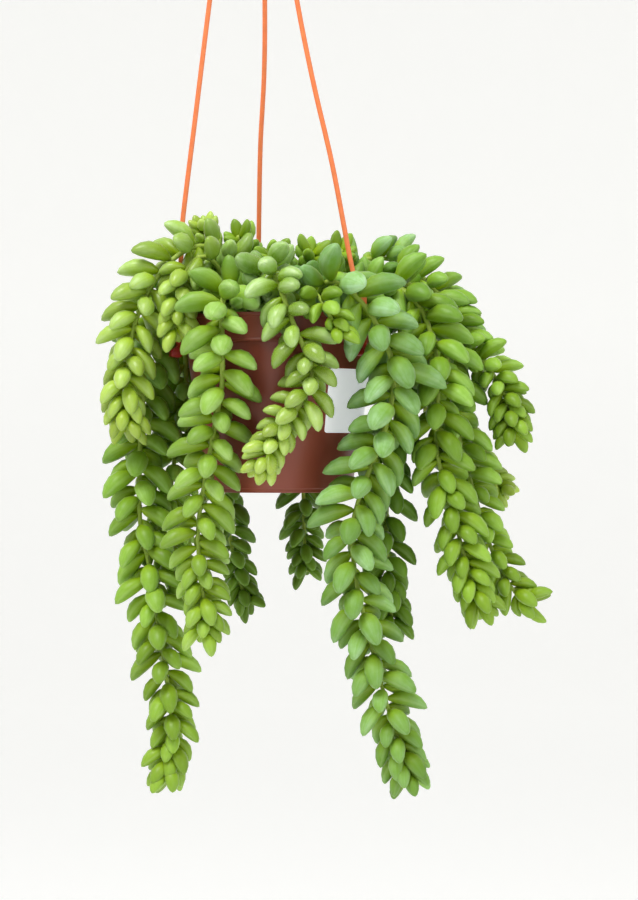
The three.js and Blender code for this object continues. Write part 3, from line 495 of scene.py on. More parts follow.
class Stem:
    """One stem: straight up out of the soil, then along its way."""

    def __init__(self, name, seed, root, bare, leaf, splay, spacing, finish, way):
        self.name, self.seed, self.bare, self.leaf = name, seed, bare, leaf
        self.splay, self.spacing, self.finish = splay, spacing, finish
        heights = (SEAT - HOLE_DEPTH, *(SOIL_DOME + rise for rise in STEM_RISE))
        upright = [(*root, SOIL_TOP + z) for z in heights]
        self.carried = CarriedLine(smooth_line(np.vstack([upright, sighted(way)])), RIGHT)
        self.leafy = self.carried.total - bare
        self.leaves = []

    def to_tip(self, share):
        """From 1 along the stem to 0 at its tip, over the stretch where leaves shrink."""
        stretch = min(SHRINKING_LENGTHS * self.leaf, SHRINKING_PART * self.leafy)
        return min(1, self.leafy * (1 - share) / stretch)

    def leaf_size(self, share):
        """Leaves are smaller where they begin, shrink slowly along the stem and fast just before the tip."""
        stretch = min(GROWING_LENGTHS * self.leaf, GROWING_PART * self.leafy)
        started = FIRST_SHARE + (1 - FIRST_SHARE) * min(1, self.leafy * share / stretch)
        grown = self.leaf * (FULL_SHARE - LOST_SHARE * share) * started
        last = TIP_SHARE * self.leaf
        return last + (grown - last) * self.to_tip(share) ** TIP_POWER

    def places(self):
        """Number, distance, turn, splay and size of each place of the spiral."""
        draw = seeded(self.seed)
        distance = self.bare
        number = 0
        while distance < self.carried.total - TIP_MARGIN:
            share = (distance - self.bare) / self.leafy
            size = self.leaf_size(share) * (1 + SIZE_SPREAD * (2 * next(draw) - 1))
            turn = DIVERGENCE * number + TURN_SPREAD * (2 * next(draw) - 1)
            left = self.carried.total - distance
            closing = TIP_CLOSING * max(0, 1 - left / (CLOSING_LENGTHS * self.leaf))
            opened = self.splay[0] + (self.splay[1] - self.splay[0]) * share
            splay = opened - closing + SPLAY_SPREAD * (2 * next(draw) - 1)
            yield number, distance, turn, splay, size
            crowding = 1 - TIP_CROWDING * (1 - self.to_tip(share))
            distance += self.spacing * size * (START_SPACING - LOST_SPACING * share) * crowding
            number += 1


class Crowd:
    """What a new leaf has to clear: the pot, the stems, the strands with their clips, other stems' leaves."""

    def __init__(self, stems):
        self.leaves = []
        lines = [(stem.name, stem.carried, BALL_STEP, STEM_RADIUS) for stem in stems]
        lines += [(name, strand_line(*row), STRAND_BALL_STEP, 0.5 * STRAND_WIDTH) for name, *row in STRANDS]
        balls = []
        for owner, carried, step, radius in lines:
            centres = carried.at(evenly(0, carried.total, step))[0]
            balls.append((centres, np.full(len(centres), radius), [owner] * len(centres)))
        for name, turn, *_ in STRANDS:
            centres, radii = clip_balls(turn)
            balls.append((centres, radii, [name] * len(centres)))
        self.centres, self.radii, self.owners = (np.concatenate(part) for part in zip(*balls))

    def is_free(self, leaf):
        """Whether a leaf touches nothing of another owner."""
        if inside_pot(leaf.skin).any():
            return False
        reach = LEAF_REACH * leaf.length
        apart = np.linalg.norm(self.centres - leaf.middle, axis=1)
        near = (apart <= reach + self.radii + NEAR_MARGIN) & (self.owners != leaf.owner)
        if near.any():
            centres, radii = self.centres[near], self.radii[near]
            gaps = np.linalg.norm(leaf.skin[:, None] - centres[None], axis=2)
            if (gaps < radii + CLEARANCE).any() or leaf.holds(centres).any():
                return False
        for other in self.leaves:
            if other.owner == leaf.owner:
                continue
            if np.linalg.norm(leaf.middle - other.middle) > reach + LEAF_REACH * other.length:
                continue
            if other.holds(leaf.skin).any() or leaf.holds(other.skin).any():
                return False
        return True


def body_radius(z):
    """Outer radius of the pot's tapered wall at a height."""
    return BASE_RADIUS + (BODY_TOP_RADIUS - BASE_RADIUS) * (z - FOOT_HEIGHT) / (BAND_BOTTOM - FOOT_HEIGHT)


def inside_pot(points):
    """Which points lie in the pot's wall or the soil, or too close to either."""
    radius = np.hypot(points[:, 0], points[:, 1])
    z = points[:, 2]
    wall = np.where(z > BAND_BOTTOM - POT_MARGIN, LIP_RADIUS, np.maximum(BASE_RADIUS, body_radius(z)))
    over_soil = (z > SOIL_TOP + SOIL_DOME + POT_MARGIN) & (radius < RIM_RADIUS - RIM_MARGIN)
    beside = (z <= POT_HEIGHT + POT_MARGIN) & (z >= -POT_MARGIN)
    return beside & (radius <= wall + WALL_MARGIN) & ~over_soil


def clip_balls(turn):
    """Balls over a clip, three to a row, as their centres and radii."""
    heights = np.arange(BAND_BOTTOM - CLIP_DROP, CLIP_TOP, CLIP_BALL_STEP)
    across, z = (a.ravel() for a in np.meshgrid(CLIP_BALL_STEP * np.arange(-1, 2), heights, indexing="ij"))
    x, y = spun(np.full(len(z), LIP_RADIUS + CLIP_BALL_OUT), across, math.radians(turn))
    plate, foot = CLIP_BALL_RADII
    return np.stack([x, y, z], axis=1), np.where(z < BAND_BOTTOM, foot, plate)


def grow(stems):
    """Places the leaves: first every third place of each spiral, as the solids have, then the others."""
    crowd = Crowd(stems)
    for third in range(3):
        for stem in stems:
            found = []
            for number, distance, turn, splay, size in stem.places():
                if number % 3 != third:
                    continue
                for turned_by, opened_by, scaled_by in TRIES:
                    leaf = Leaf(stem, distance, math.radians(turn + turned_by),
                                math.radians(splay + opened_by), size * scaled_by)
                    if crowd.is_free(leaf):
                        found.append(leaf)
                        break
            stem.leaves += found
            crowd.leaves += found


# Meshes


def linked_mesh(name, points, faces, materials=(), smooth=True):
    """A mesh object at the origin, linked to the scene."""
    mesh = bpy.data.meshes.new(name)
    mesh.from_pydata(np.asarray(points, float).tolist(), [], [list(map(int, face)) for face in faces])
    for material in materials:
        mesh.materials.append(material)
    mesh.polygons.foreach_set("use_smooth", np.full(len(mesh.polygons), smooth))
    made = bpy.data.objects.new(name, mesh)
    bpy.context.scene.collection.objects.link(made)
    return made


def mesh_piece(name, body, materials, stands_for, slot_name, smooth=True, face_materials=None, face_uvs=None,
               attributes=None):
    """A body of points and faces that rides on the one body, with its finish, and stands for CAD nodes."""
    points, faces = body
    piece = linked_mesh(name, placed(points), faces, materials, smooth)
    mesh = piece.data
    if face_materials is not None:
        mesh.polygons.foreach_set("material_index", np.asarray(face_materials, np.int32))
    if face_uvs is not None:
        layer = mesh.uv_layers.new(name="surface")
        layer.data.foreach_set("uv", np.asarray(face_uvs, np.float32).ravel())
    for label, values in (attributes or {}).items():
        attribute = mesh.attributes.new(label, "FLOAT", "POINT")
        attribute.data.foreach_set("value", np.asarray(values, np.float32))
    mesh.update()
    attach(piece, "root")
    if stands_for:
        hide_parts(*stands_for)
    return piece


def joined(bodies):
    """The points and faces of several bodies as one body's."""
    points, faces, start = [], [], 0
    for body, body_faces in bodies:
        points.append(body)
        faces += [[start + corner for corner in face] for face in body_faces]
        start += len(body)
    return np.vstack(points), faces


def tube_template(rings, sides):
    """Faces and their corners' UVs for a first pole, rings of points and a last pole, facing outwards when
    the rings run forwards and each ring turns to the left."""
    faces, uvs = [], []
    for i in range(rings + 1):
        low, high = i / (rings + 1), (i + 1) / (rings + 1)
        for k in range(sides):
            left, right = k / sides, (k + 1) / sides
            here, after = 1 + i * sides + k, 1 + i * sides + (k + 1) % sides
            if i == 0:
                faces.append([0, after, here])
                uvs += [((left + right) / 2, low), (right, high), (left, high)]
            elif i == rings:
                faces.append([here - sides, after - sides, 1 + rings * sides])
                uvs += [(left, low), (right, low), ((left + right) / 2, high)]
            else:
                faces.append([here - sides, after - sides, after, here])
                uvs += [(left, low), (right, low), (right, high), (left, high)]
    return faces, uvs


def cells(rows, columns, closed=False):
    """The corners of each cell in a grid of points: this one, the next, and the same two in the next row."""
    r, c = np.meshgrid(np.arange(rows - 1), np.arange(columns if closed else columns - 1), indexing="ij")
    here, after = r * columns + c, r * columns + (c + 1) % columns
    return np.stack([here, after, after + columns, here + columns], axis=2).reshape(-1, 4)


def swept(carried, distances, outline):
    """Points of a closed bar: an outline of side and across offsets at each distance, a pole at both ends."""
    point, _, side, across = carried.at(distances)
    u, v = outline[..., 0, None], outline[..., 1, None]
    rings = point[:, None] + side[:, None] * u + across[:, None] * v
    return np.vstack([point[:1], rings.reshape(-1, 3), point[-1:]])


def round_bar(carried, stations, radius, sides):
    """Points of a round bar with a radius at each station."""
    return swept(carried, stations, radius[:, None, None] * np.stack(circle(sides), axis=1))


def ring_points(profile, sides):
    """A profile of radius and height turned about the axis, as rings of points."""
    x, y = (profile[:, :1] * part for part in circle(sides))
    return np.stack([x, y, np.repeat(profile[:, 1:], sides, axis=1)], axis=2).reshape(-1, 3)


def turned(profile, sides):
    """A closed body of revolution: a profile of radius and height turned about the axis, with poles where the
    profile starts and ends on the axis. Returns points and faces."""
    profile = np.asarray(profile, float)
    poles = np.column_stack([np.zeros((2, 2)), profile[[0, -1], 1]])
    points = np.vstack([poles[:1], ring_points(profile[1:-1], sides), poles[1:]])
    return points, tube_template(len(profile) - 2, sides)[0]


def rounded(corners, radius, steps=4):
    """A line of corners with each inner corner replaced by a short curve that leaves and meets the straight
    parts at the radius's distance, or at half the shorter side."""
    corners = np.asarray(corners, float)
    t = np.linspace(0, 1, steps + 1)[:, None]
    line = [corners[:1]]
    for before, corner, after in zip(corners[:-2], corners[1:-1], corners[2:]):
        start, end = (corner + unit(other - corner) * min(radius, 0.5 * np.linalg.norm(other - corner))
                      for other in (before, after))
        line.append((1 - t) ** 2 * start + 2 * t * (1 - t) * corner + t ** 2 * end)
    line.append(corners[-1:])
    return np.vstack(line)


def leaf_surfaces(leaves):
    """Points of many leaves at once. At a length t the section is an oval whose half width is the leaf's
    largest times sin(pi t^1.05)^0.58. Its outward half is full and its inward half flatter, and its middle
    line bows outwards as 4t(1-t)."""
    t = np.array(LEAF_RINGS)[None, :, None]
    side, out = circle(LEAF_SIDES)
    share = np.sin(np.pi * t ** 1.05) ** 0.58
    length, half_width, half_thickness = (np.array([getattr(leaf, name) for leaf in leaves])[:, None, None]
                                          for name in ("length", "half_width", "half_thickness"))
    along, flat, bulge, foot = (np.array([getattr(leaf, name) for leaf in leaves])[:, None, None, :]
                                for name in ("along", "flat", "bulge", "foot"))
    u = half_width * share * side
    fullness = np.where(out > 0, 1.0, INNER_FLATNESS)
    v = half_thickness * share * out * fullness + ARCH * length * 4 * t * (1 - t)
    rings = foot + along * (length * t)[..., None] + flat * u[..., None] + bulge * v[..., None]
    tips = foot[:, 0] + along[:, 0] * length
    return np.concatenate([foot[:, 0], rings.reshape(len(leaves), -1, 3), tips], axis=1)


def leafy_stem(stem, materials):
    """One stem with all its leaves as one piece: the stem's tube first, then the leaves."""
    stations = evenly(0, stem.carried.total, STEM_STEP)
    radius = STEM_RADIUS + (STEM_TIP_RADIUS - STEM_RADIUS) * stations / stem.carried.total
    tube = round_bar(stem.carried, stations, radius, LEAF_SIDES)
    tube_faces, tube_uvs = tube_template(len(stations), LEAF_SIDES)
    leaf_faces, leaf_uvs = tube_template(len(LEAF_RINGS), LEAF_SIDES)
    leaves = leaf_surfaces(stem.leaves)
    body = joined([(tube, tube_faces)] + [(leaf, leaf_faces) for leaf in leaves])
    draw = seeded(stem.seed + 1)
    tone = np.repeat([next(draw) for _ in stem.leaves], leaves.shape[1])
    share = np.repeat([leaf.share for leaf in stem.leaves], leaves.shape[1])
    ends = np.concatenate([stations[:1], np.repeat(stations, LEAF_SIDES), stations[-1:]])
    old = np.clip((stem.bare - ends) / (OLD_PART * stem.bare), 0, 1)
    return mesh_piece(
        "leafy_" + stem.name, body, materials, ["stem_" + stem.name], LEAF_FINISHES[stem.finish][0],
        face_materials=[1] * len(tube_faces) + [0] * (len(body[1]) - len(tube_faces)),
        face_uvs=tube_uvs + leaf_uvs * len(leaves),
        attributes={"leaf_tone": np.concatenate([np.full(len(tube), 0.5), tone]),
                    "stem_share": np.concatenate([ends / stem.carried.total, share]),
                    "old_bark": np.concatenate([old, np.zeros(len(tone))])})


def pot_profile():
    """The pot's section from the middle of the floor's underside, round the outside and back down inside."""
    foot = BASE_RADIUS - FOOT_INSET
    floor_top = FLOOR_UNDERSIDE + WALL
    band = BODY_TOP_RADIUS + BAND_STEP
    bead = band + BEAD_DEPTH
    under, over = BEAD_SLOPES
    corners = [
        (0, FLOOR_UNDERSIDE), (foot - FOOT_RING, FLOOR_UNDERSIDE), (foot - FOOT_RING, 0), (foot, 0),
        (foot, FOOT_HEIGHT - FOOT_SLOPE), (BASE_RADIUS, FOOT_HEIGHT), (BODY_TOP_RADIUS, BAND_BOTTOM),
        (bead, BAND_BOTTOM + under), (bead, BAND_BOTTOM + BEAD_HEIGHT),
        (band, BAND_BOTTOM + BEAD_HEIGHT + over), (RIM_RADIUS, POT_HEIGHT - LIP_HEIGHT),
        (LIP_RADIUS, POT_HEIGHT - LIP_HEIGHT + LIP_SLOPE), (LIP_RADIUS, POT_HEIGHT),
        (RIM_RADIUS - WALL, POT_HEIGHT), (band - WALL, BAND_BOTTOM + WALL),
        (BODY_TOP_RADIUS - WALL, BAND_BOTTOM - WALL), (BASE_RADIUS - WALL, floor_top), (0, floor_top),
    ]
    return rounded(corners, POT_EDGE)


def cut_drains(piece):
    """Cuts the round drain holes through the pot's floor with a Boolean modifier and keeps the result."""
    bottom, top = -1, 2 * (FLOOR_UNDERSIDE + WALL)
    post, faces = turned([(0, bottom), (DRAIN_RADIUS, bottom), (DRAIN_RADIUS, top), (0, top)], DRAIN_SIDES)
    centres = DRAIN_CIRCLE * np.column_stack([*circle(DRAIN_COUNT), np.zeros(DRAIN_COUNT)])
    posts, post_faces = joined([(post + centre, faces) for centre in centres])
    drill = linked_mesh("drill", placed(posts), post_faces, smooth=False)
    cut = piece.modifiers.new("holes", "BOOLEAN")
    cut.object = drill
    cut.operation = "DIFFERENCE"
    cut.solver = "EXACT"
    bpy.context.view_layer.update()
    graph = bpy.context.evaluated_depsgraph_get()
    result = bpy.data.meshes.new_from_object(piece.evaluated_get(graph))
    piece.modifiers.clear()
    piece.data = result
    bpy.data.objects.remove(drill)


def strand_line(turn, socket, way):
    """A strand's line from its clip on the rim, along its way in the picture, into its socket in the hub."""
    foot = [(*spun(LIP_RADIUS + SEAT + CLIP_PLATE / 2, 0, math.radians(turn)), CLIP_TOP - CLIP_ROOT)]
    x, y = spun(HUB_CIRCLE, 0, math.radians(socket))
    upright = [(HUB_X + x, y, HUB_BOTTOM + z) for z in (*SOCKET_APPROACH, SOCKET_DEPTH - SEAT)]
    return CarriedLine(smooth_line(np.vstack([foot, sighted(way), upright])), RIGHT)


def clip_outline():
    """The clip's section, as distance from the pot's axis and height: a plate down the rim band, a ledge that
    reaches in under the band, and a foot that stands out below."""
    inside = LIP_RADIUS + SEAT
    outside = inside + CLIP_PLATE
    ledge = BAND_BOTTOM - SEAT
    ledge_gap, ledge_drop = CLIP_LEDGE
    under_band = BODY_TOP_RADIUS + ledge_gap
    foot = ledge - CLIP_DROP
    foot_side = [(inside + CLIP_FOOT_DEPTH, foot + rise) for rise in CLIP_FOOT]
    corners = np.array([
        (inside, CLIP_TOP), (inside, ledge), (under_band, ledge), (under_band, ledge - ledge_drop),
        (inside, foot), *foot_side, (outside, ledge - CLIP_SHOULDER), (outside, CLIP_TOP)])
    top = (corners[-1] + corners[0]) / 2
    return rounded(np.vstack([top, corners, top]), CLIP_EDGE, 3)[:-1]


def clip_body(turn):
    """The clip: its section carried across its width, drawn in a little at both ends so the edges are round.
    Returns points and faces."""
    outline = clip_outline()
    middle = outline.mean(axis=0)
    half = CLIP_WIDTH / 2
    stations = [(inset - half, share) for inset, share in CLIP_SIDES]
    stations += [(half - inset, share) for inset, share in CLIP_SIDES[::-1]]
    rows = []
    for across, share in stations:
        section = middle + (outline - middle) * [share, 0.5 + 0.5 * share]
        x, y = spun(section[:, 0], np.full(len(section), across), math.radians(turn))
        rows.append(np.column_stack([x, y, section[:, 1]]))
    count = len(outline)
    last = count * (len(stations) - 1)
    faces = [list(range(count)), list(range(last, last + count))[::-1]]
    return np.vstack(rows), faces + cells(len(stations), count, closed=True)[:, [0, 3, 2, 1]].tolist()


def strand_piece(name, turn, socket, way, material):
    """One strand with its clip. The strand's section is a flat oval, as half the width times the cosine and
    0.42 of the thickness times the 0.6th power of the sine, with a low rib along its middle. The clip's foot
    under the rim band carries a painted deep red shade, which fades out up the plate."""
    carried = strand_line(turn, socket, way)
    stations = evenly(0, carried.total, STRAND_STEP)
    side, out = circle(STRAND_SIDES)
    rib = 1 + STRAND_RIB * np.abs(out) ** 6
    section = np.stack([0.5 * STRAND_WIDTH * side,
                        0.42 * STRAND_THICKNESS * np.sign(out) * np.abs(out) ** 0.6 * rib], axis=1)
    outline = np.repeat(section[None], len(stations), axis=0)
    outline[[0, -1]] *= STRAND_END
    bar = swept(carried, stations, outline)
    clip, clip_faces = clip_body(turn)
    # Painted shade: the clip's foot turns deep red, full from 2 mm below the band's bottom and gone 6 mm
    # above it
    depth = np.clip((BAND_BOTTOM + RED_START - clip[:, 2]) / RED_FADE, 0, 1)
    body = joined([(bar, tube_template(len(stations), STRAND_SIDES)[0]), (clip, clip_faces)])
    return mesh_piece("hanger_strand_" + name, body, [material], ["strand_" + name], "hanger_plastic",
                      attributes={"painted_shade_red": np.concatenate([np.zeros(len(bar)), depth])})


def hook_line():
    """The hook's middle line: up out of the hub, aside, and round the hook's arc."""
    points = [(HUB_X + aside * HOOK_RADIUS, 0, HUB_TOP + up) for aside, up in HOOK_WAY]
    for angle in np.radians(np.linspace(*HOOK_ARC, HOOK_POINTS)):
        x, z = spun(HOOK_RADIUS, 0, angle)
        points.append((HUB_X + x, 0, HUB_TOP + HOOK_RISE + z))
    return CarriedLine(smooth_line(points), BACK)


def hook_piece(material):
    """The hub, a short turned boss, and the hook's round bar, whose radius falls as a circle's at its end."""
    carried = hook_line()
    stations = evenly(0, carried.total, HOOK_STEP)
    into_end = 1 - np.minimum(carried.total - stations, BAR_RADIUS) / BAR_RADIUS
    radius = BAR_RADIUS * np.sqrt(np.clip(1 - into_end ** 2, 0.05, 1))
    bar = round_bar(carried, stations, radius, HOOK_SIDES)
    inset, drop = HUB_SHOULDER
    corners = [(0, HUB_BOTTOM), (HUB_RADIUS, HUB_BOTTOM), (HUB_RADIUS, HUB_TOP - drop),
               (HUB_RADIUS - inset, HUB_TOP), (0, HUB_TOP)]
    hub, hub_faces = turned(rounded(corners, HUB_EDGE), HUB_SIDES)
    body = joined([(bar, tube_template(len(stations), HOOK_SIDES)[0]), (hub + HUB_X * RIGHT, hub_faces)])
    return mesh_piece("hanger_hook", body, [material], ["hook"], "hanger_plastic",
                      attributes={"painted_shade_red": np.zeros(len(body[0]))})


def label_piece(material):
    """The label: a grid that follows the tapered wall. Near its top and bottom the width draws in as a circle
    does, which rounds the four corners. A Solidify modifier gives the paper its thickness."""
    half_height = LABEL_HEIGHT / 2
    height = half_height * np.sin(np.pi / 2 * np.sin(np.pi / 2 * np.linspace(-1, 1, LABEL_ROWS)))
    middle_turn = math.radians(LABEL_START + LABEL_ARC / 2 - 90)
    z = LABEL_BOTTOM + half_height + height[:, None] + np.zeros(LABEL_COLUMNS)
    radius = body_radius(z) + SEAT + LABEL_THICKNESS
    half_width = math.radians(LABEL_ARC / 2) * radius
    into_corner = np.clip(np.abs(height) - (half_height - LABEL_CORNER), 0, LABEL_CORNER)
    drawn_in = LABEL_CORNER - np.sqrt(np.clip(LABEL_CORNER ** 2 - into_corner ** 2, 0, None))
    across = np.linspace(-1, 1, LABEL_COLUMNS)[None, :] * (half_width - drawn_in[:, None])
    turn = middle_turn + across / radius
    points = np.stack([radius * np.cos(turn), radius * np.sin(turn), z], axis=2).reshape(-1, 3)
    body = points, cells(LABEL_ROWS, LABEL_COLUMNS)
    piece = mesh_piece("label_paper_sheet", body, [material], ["label"], "label_paper")
    thickness = piece.modifiers.new("paper", "SOLIDIFY")
    thickness.thickness = LABEL_THICKNESS * MM
    thickness.offset = -1
    return piece


def soil_surface(share):
    """Height of the soil's crowned top at a share of its radius."""
    return SOIL_TOP - SOIL_EDGE_DROP + SOIL_CROWN * (1 - share ** 2)


def soil_piece(material):
    """The soil: turned, with a domed top whose height ripples as a sum of slanted waves."""
    floor = FLOOR_UNDERSIDE + WALL + SEAT
    inner = BODY_TOP_RADIUS - WALL - SEAT
    corners = [(0, floor), (body_radius(floor) - WALL - SEAT, floor), (inner, BAND_BOTTOM - WALL),
               (inner, SOIL_TOP - SOIL_SHOULDER)]
    from_wall, from_axis = SOIL_RING_GAPS
    rings = np.linspace(inner - from_wall, from_axis, SOIL_RINGS)
    top = np.column_stack([rings, soil_surface(rings / inner)])
    profile = np.vstack([corners, top, [(0, SOIL_TOP + SOIL_DOME - WAVE_SINK)]])
    points, faces = turned(profile, SOIL_SIDES)
    wave = np.zeros(len(points))
    draw = seeded(SOIL_SEED)
    for _ in range(WAVES):
        rate = between(WAVE_RATES, next(draw))
        angle = 2 * math.pi * next(draw)
        phase = 2 * math.pi * next(draw)
        along = points[:, 0] * math.cos(angle) + points[:, 1] * math.sin(angle)
        wave += np.sin(along * rate + phase)
    on_top = np.clip((points[:, 2] - SOIL_TOP + SOIL_SHOULDER) / SOIL_EDGE_DROP, 0, 1)
    points[:, 2] += WAVE_HEIGHT * wave * on_top - WAVE_SINK * on_top
    return mesh_piece("soil_peat", (points, faces), [material], ["soil"], "potting_soil")


def crumbs_piece(material):
    """Loose crumbs on the soil: rough eight-faced bits, sunk nearly half into the surface."""
    corners = np.array([(1, 0, 0), (-1, 0, 0), (0, 1, 0), (0, -1, 0), (0, 0, 1), (0, 0, -1)], float)
    faces = [(0, 2, 4), (2, 1, 4), (1, 3, 4), (3, 0, 4), (2, 0, 5), (1, 2, 5), (3, 1, 5), (0, 3, 5)]
    draw = seeded(CRUMB_SEED)
    inner = BODY_TOP_RADIUS - WALL - SEAT - CRUMB_INSET
    crumbs = []
    for _ in range(CRUMBS):
        radius = inner * math.sqrt(next(draw))
        turn = 2 * math.pi * next(draw)
        size = between(CRUMB_SIZES, next(draw) ** 2)
        stretch = np.array([size * between(CRUMB_STRETCH, next(draw)) for _ in range(3)])
        spin = 2 * math.pi * next(draw)
        bit = corners * stretch * between(CRUMB_CORNERS, np.array([next(draw) for _ in range(6)]))[:, None]
        x, z = spun(bit[:, 0], bit[:, 2], spin)
        height = soil_surface(radius / inner) - WAVE_SINK + CRUMB_LIFT * size
        centre = np.array([*spun(radius, 0, turn), height])
        crumbs.append((centre + np.column_stack([x, bit[:, 1], z]), faces))
    return mesh_piece("soil_crumbs", joined(crumbs), [material], [], "potting_soil", smooth=False)


# Finishes


def add_node(tree, kind, inputs=(), output=0, **settings):
    """Adds a shader node with its settings, gives its inputs, in order or by name, a value or a link each,
    and returns one of its outputs."""
    node = tree.nodes.new("ShaderNode" + kind)
    for name, value in settings.items():
        setattr(node, name, value)
    for key, value in inputs.items() if isinstance(inputs, dict) else enumerate(inputs):
        if isinstance(value, bpy.types.NodeSocket):
            tree.links.new(value, node.inputs[key])
        else:
            node.inputs[key].default_value = value
    return node.outputs[output] if node.outputs else None


def new_material(name):
    """An empty node material, its tree and its Object coordinates."""
    material = bpy.data.materials.new(name)
    material.use_nodes = True
    tree = material.node_tree
    tree.nodes.clear()
    return material, tree, add_node(tree, "TexCoord", output="Object")


def end_material(material, colour, roughness, ior, relief, glow=None, others=None):
    """Ends a material with its colour, its roughness, a fine relief as strength, depth in millimetres and
    height, and the light carried inside as weight, spread of red, green and blue, and depth in
    millimetres."""
    tree = material.node_tree
    strength, depth, height = relief
    bump = add_node(tree, "Bump", {"Strength": strength, "Distance": depth * MM, "Height": height})
    inputs = {"Base Color": colour, "Roughness": roughness, "IOR": ior, "Normal": bump, **(others or {})}
    if glow:
        weight, spread, reach = glow
        inputs |= {"Subsurface Weight": weight, "Subsurface Radius": spread, "Subsurface Scale": reach * MM}
    add_node(tree, "OutputMaterial", [add_node(tree, "BsdfPrincipled", inputs)])
    return material


def leaf_skin(name, foot_colour, body_colour, bloom_colour, bloom, young):
    """Fleshy leaf skin: a smooth waxy cuticle over wet green flesh, with a powdery bloom that is rubbed thin
    near the stem. The eye sees a soft broad gloss, light that glows in the flesh, yellow-green feet and
    young leaves, a blue-green haze towards the tip and a thin pale line along both margins."""
    material, tree, place = new_material(name)
    surface = add_node(tree, "UVMap", uv_map="surface")
    around = add_node(tree, "SeparateXYZ", [surface])
    along = around.node.outputs[1]
    tone = add_node(tree, "Attribute", output="Fac", attribute_name="leaf_tone")
    share = add_node(tree, "Attribute", output="Fac", attribute_name="stem_share")
    blotch = add_node(tree, "TexNoise", {
        "Vector": place, "Scale": 1 / (7.0 * MM), "Detail": 3.0, "Roughness": 0.55})
    powder = add_node(tree, "TexNoise", {
        "Vector": place, "Scale": 1 / (0.9 * MM), "Detail": 2.0, "Roughness": 0.6})
    turn = add_node(tree, "Math", [around, 2 * math.pi], operation="MULTIPLY")
    side = add_node(tree, "Math", [turn], operation="COSINE")
    back = add_node(tree, "Math", [turn], operation="SINE")
    round_leaf = add_node(tree, "CombineXYZ", [side, back, along])
    drawn_out = add_node(tree, "Mapping", {"Vector": round_leaf, "Scale": (4.0, 4.0, 1.2)})
    streak = add_node(tree, "TexNoise", {
        "Vector": drawn_out, "W": tone, "Scale": 1.0, "Detail": 2.0}, noise_dimensions="4D")

    # The flesh turns from the foot's colour to the body's, which is yellower in young leaves
    outwards = add_node(tree, "MapRange", [along, 0.15, 0.75, 0.0, 1.0], interpolation_type="SMOOTHSTEP")
    youth = add_node(tree, "MapRange", [share, 0.3, 1.0, 0.0, young])
    body = add_node(tree, "Mix", {0: youth, 6: body_colour, 7: linear(YOUNG_LEAF)}, 2, data_type="RGBA")
    flesh = add_node(tree, "Mix", {0: outwards, 6: foot_colour, 7: body}, 2, data_type="RGBA")

    # The bloom lies towards the tip and the margins, in blotches and streaks, and less on young leaves
    haze = add_node(tree, "MapRange", [blotch, *NOISE_SPAN, 0.35, 1.0])
    edge = add_node(tree, "Math", [side], operation="ABSOLUTE")
    edge_bloom = add_node(tree, "MapRange", [edge, 0.7, 1.0, 0.0, 0.3], interpolation_type="SMOOTHSTEP")
    tip_bloom = add_node(tree, "MapRange", [along, 0.15, 0.92, 0.0, 1.3], interpolation_type="SMOOTHSTEP")
    bloom_place = add_node(tree, "Math", [tip_bloom, edge_bloom])
    by_leaf = add_node(tree, "MapRange", [tone, 0.0, 1.0, 0.5, 1.35])
    by_streak = add_node(tree, "MapRange", [streak, 0.35, 0.65, 0.65, 1.1])
    powdered = add_node(tree, "MapRange", [share, 0.3, 1.0, bloom, 0.45 * bloom])
    for part in (bloom_place, by_leaf, by_streak):
        haze = add_node(tree, "Math", [haze, part], operation="MULTIPLY")
    haze = add_node(tree, "Math", [haze, powdered], operation="MULTIPLY", use_clamp=True)
    hazed = add_node(tree, "Mix", {0: haze, 6: flesh, 7: bloom_colour}, 2, data_type="RGBA")

    # A thin pale line along both margins, and a tone of its own for each leaf
    line = add_node(tree, "MapRange", [edge, 0.955, 0.999, 0.0, 0.1], interpolation_type="SMOOTHSTEP")
    margined = add_node(tree, "Mix", {0: line, 6: hazed, 7: linear("#C3DCA0")}, 2, data_type="RGBA")
    value = add_node(tree, "MapRange", [tone, 0.0, 1.0, 0.76, 1.18])
    hue = add_node(tree, "MapRange", [share, 0.0, 1.0, 0.503, 0.494])
    varied = add_node(tree, "HueSaturation", {"Hue": hue, "Value": value, "Color": margined})
    skin_rough = add_node(tree, "MapRange", [powder, *NOISE_SPAN, 0.4 - 0.2 * young, 0.52 - 0.2 * young])
    powder_rough = add_node(tree, "MapRange", [haze, 0.1, 0.8, 0.0, 0.25])
    roughness = add_node(tree, "Math", [skin_rough, powder_rough])
    gloss = {"Specular IOR Level": 0.3 + 0.14 * young, "Sheen Weight": 0.14, "Sheen Roughness": 0.2,
             "Sheen Tint": linear("#DDF0D0"), "Coat Weight": 0.22 * young, "Coat Roughness": 0.18,
             "Coat IOR": 1.42}
    return end_material(material, varied, roughness, 1.42, (0.2, 0.2, powder),
                        (0.25, (0.8, 1.0, 0.25), 2.0), gloss)


def stem_bark():
    """Succulent stem: smooth, pale green and a little glossy, and corky brown where it is old and bare."""
    material, tree, place = new_material("succulent_stem_skin")
    grain = add_node(tree, "TexNoise", {"Vector": place, "Scale": 1 / (3.0 * MM), "Detail": 3.0})
    old = add_node(tree, "Attribute", output="Fac", attribute_name="old_bark")
    young = add_node(tree, "Mix", {0: grain, 6: linear("#92AE34"), 7: linear("#B0C45A")}, 2, data_type="RGBA")
    colour = add_node(tree, "Mix", {0: old, 6: young, 7: linear("#6E5230")}, 2, data_type="RGBA")
    rough = add_node(tree, "MapRange", [grain, *NOISE_SPAN, 0.42, 0.6])
    return end_material(material, colour, rough, 1.42, (0.4, 0.3, grain), (0.2, (0.8, 1.0, 0.3), 2.0))


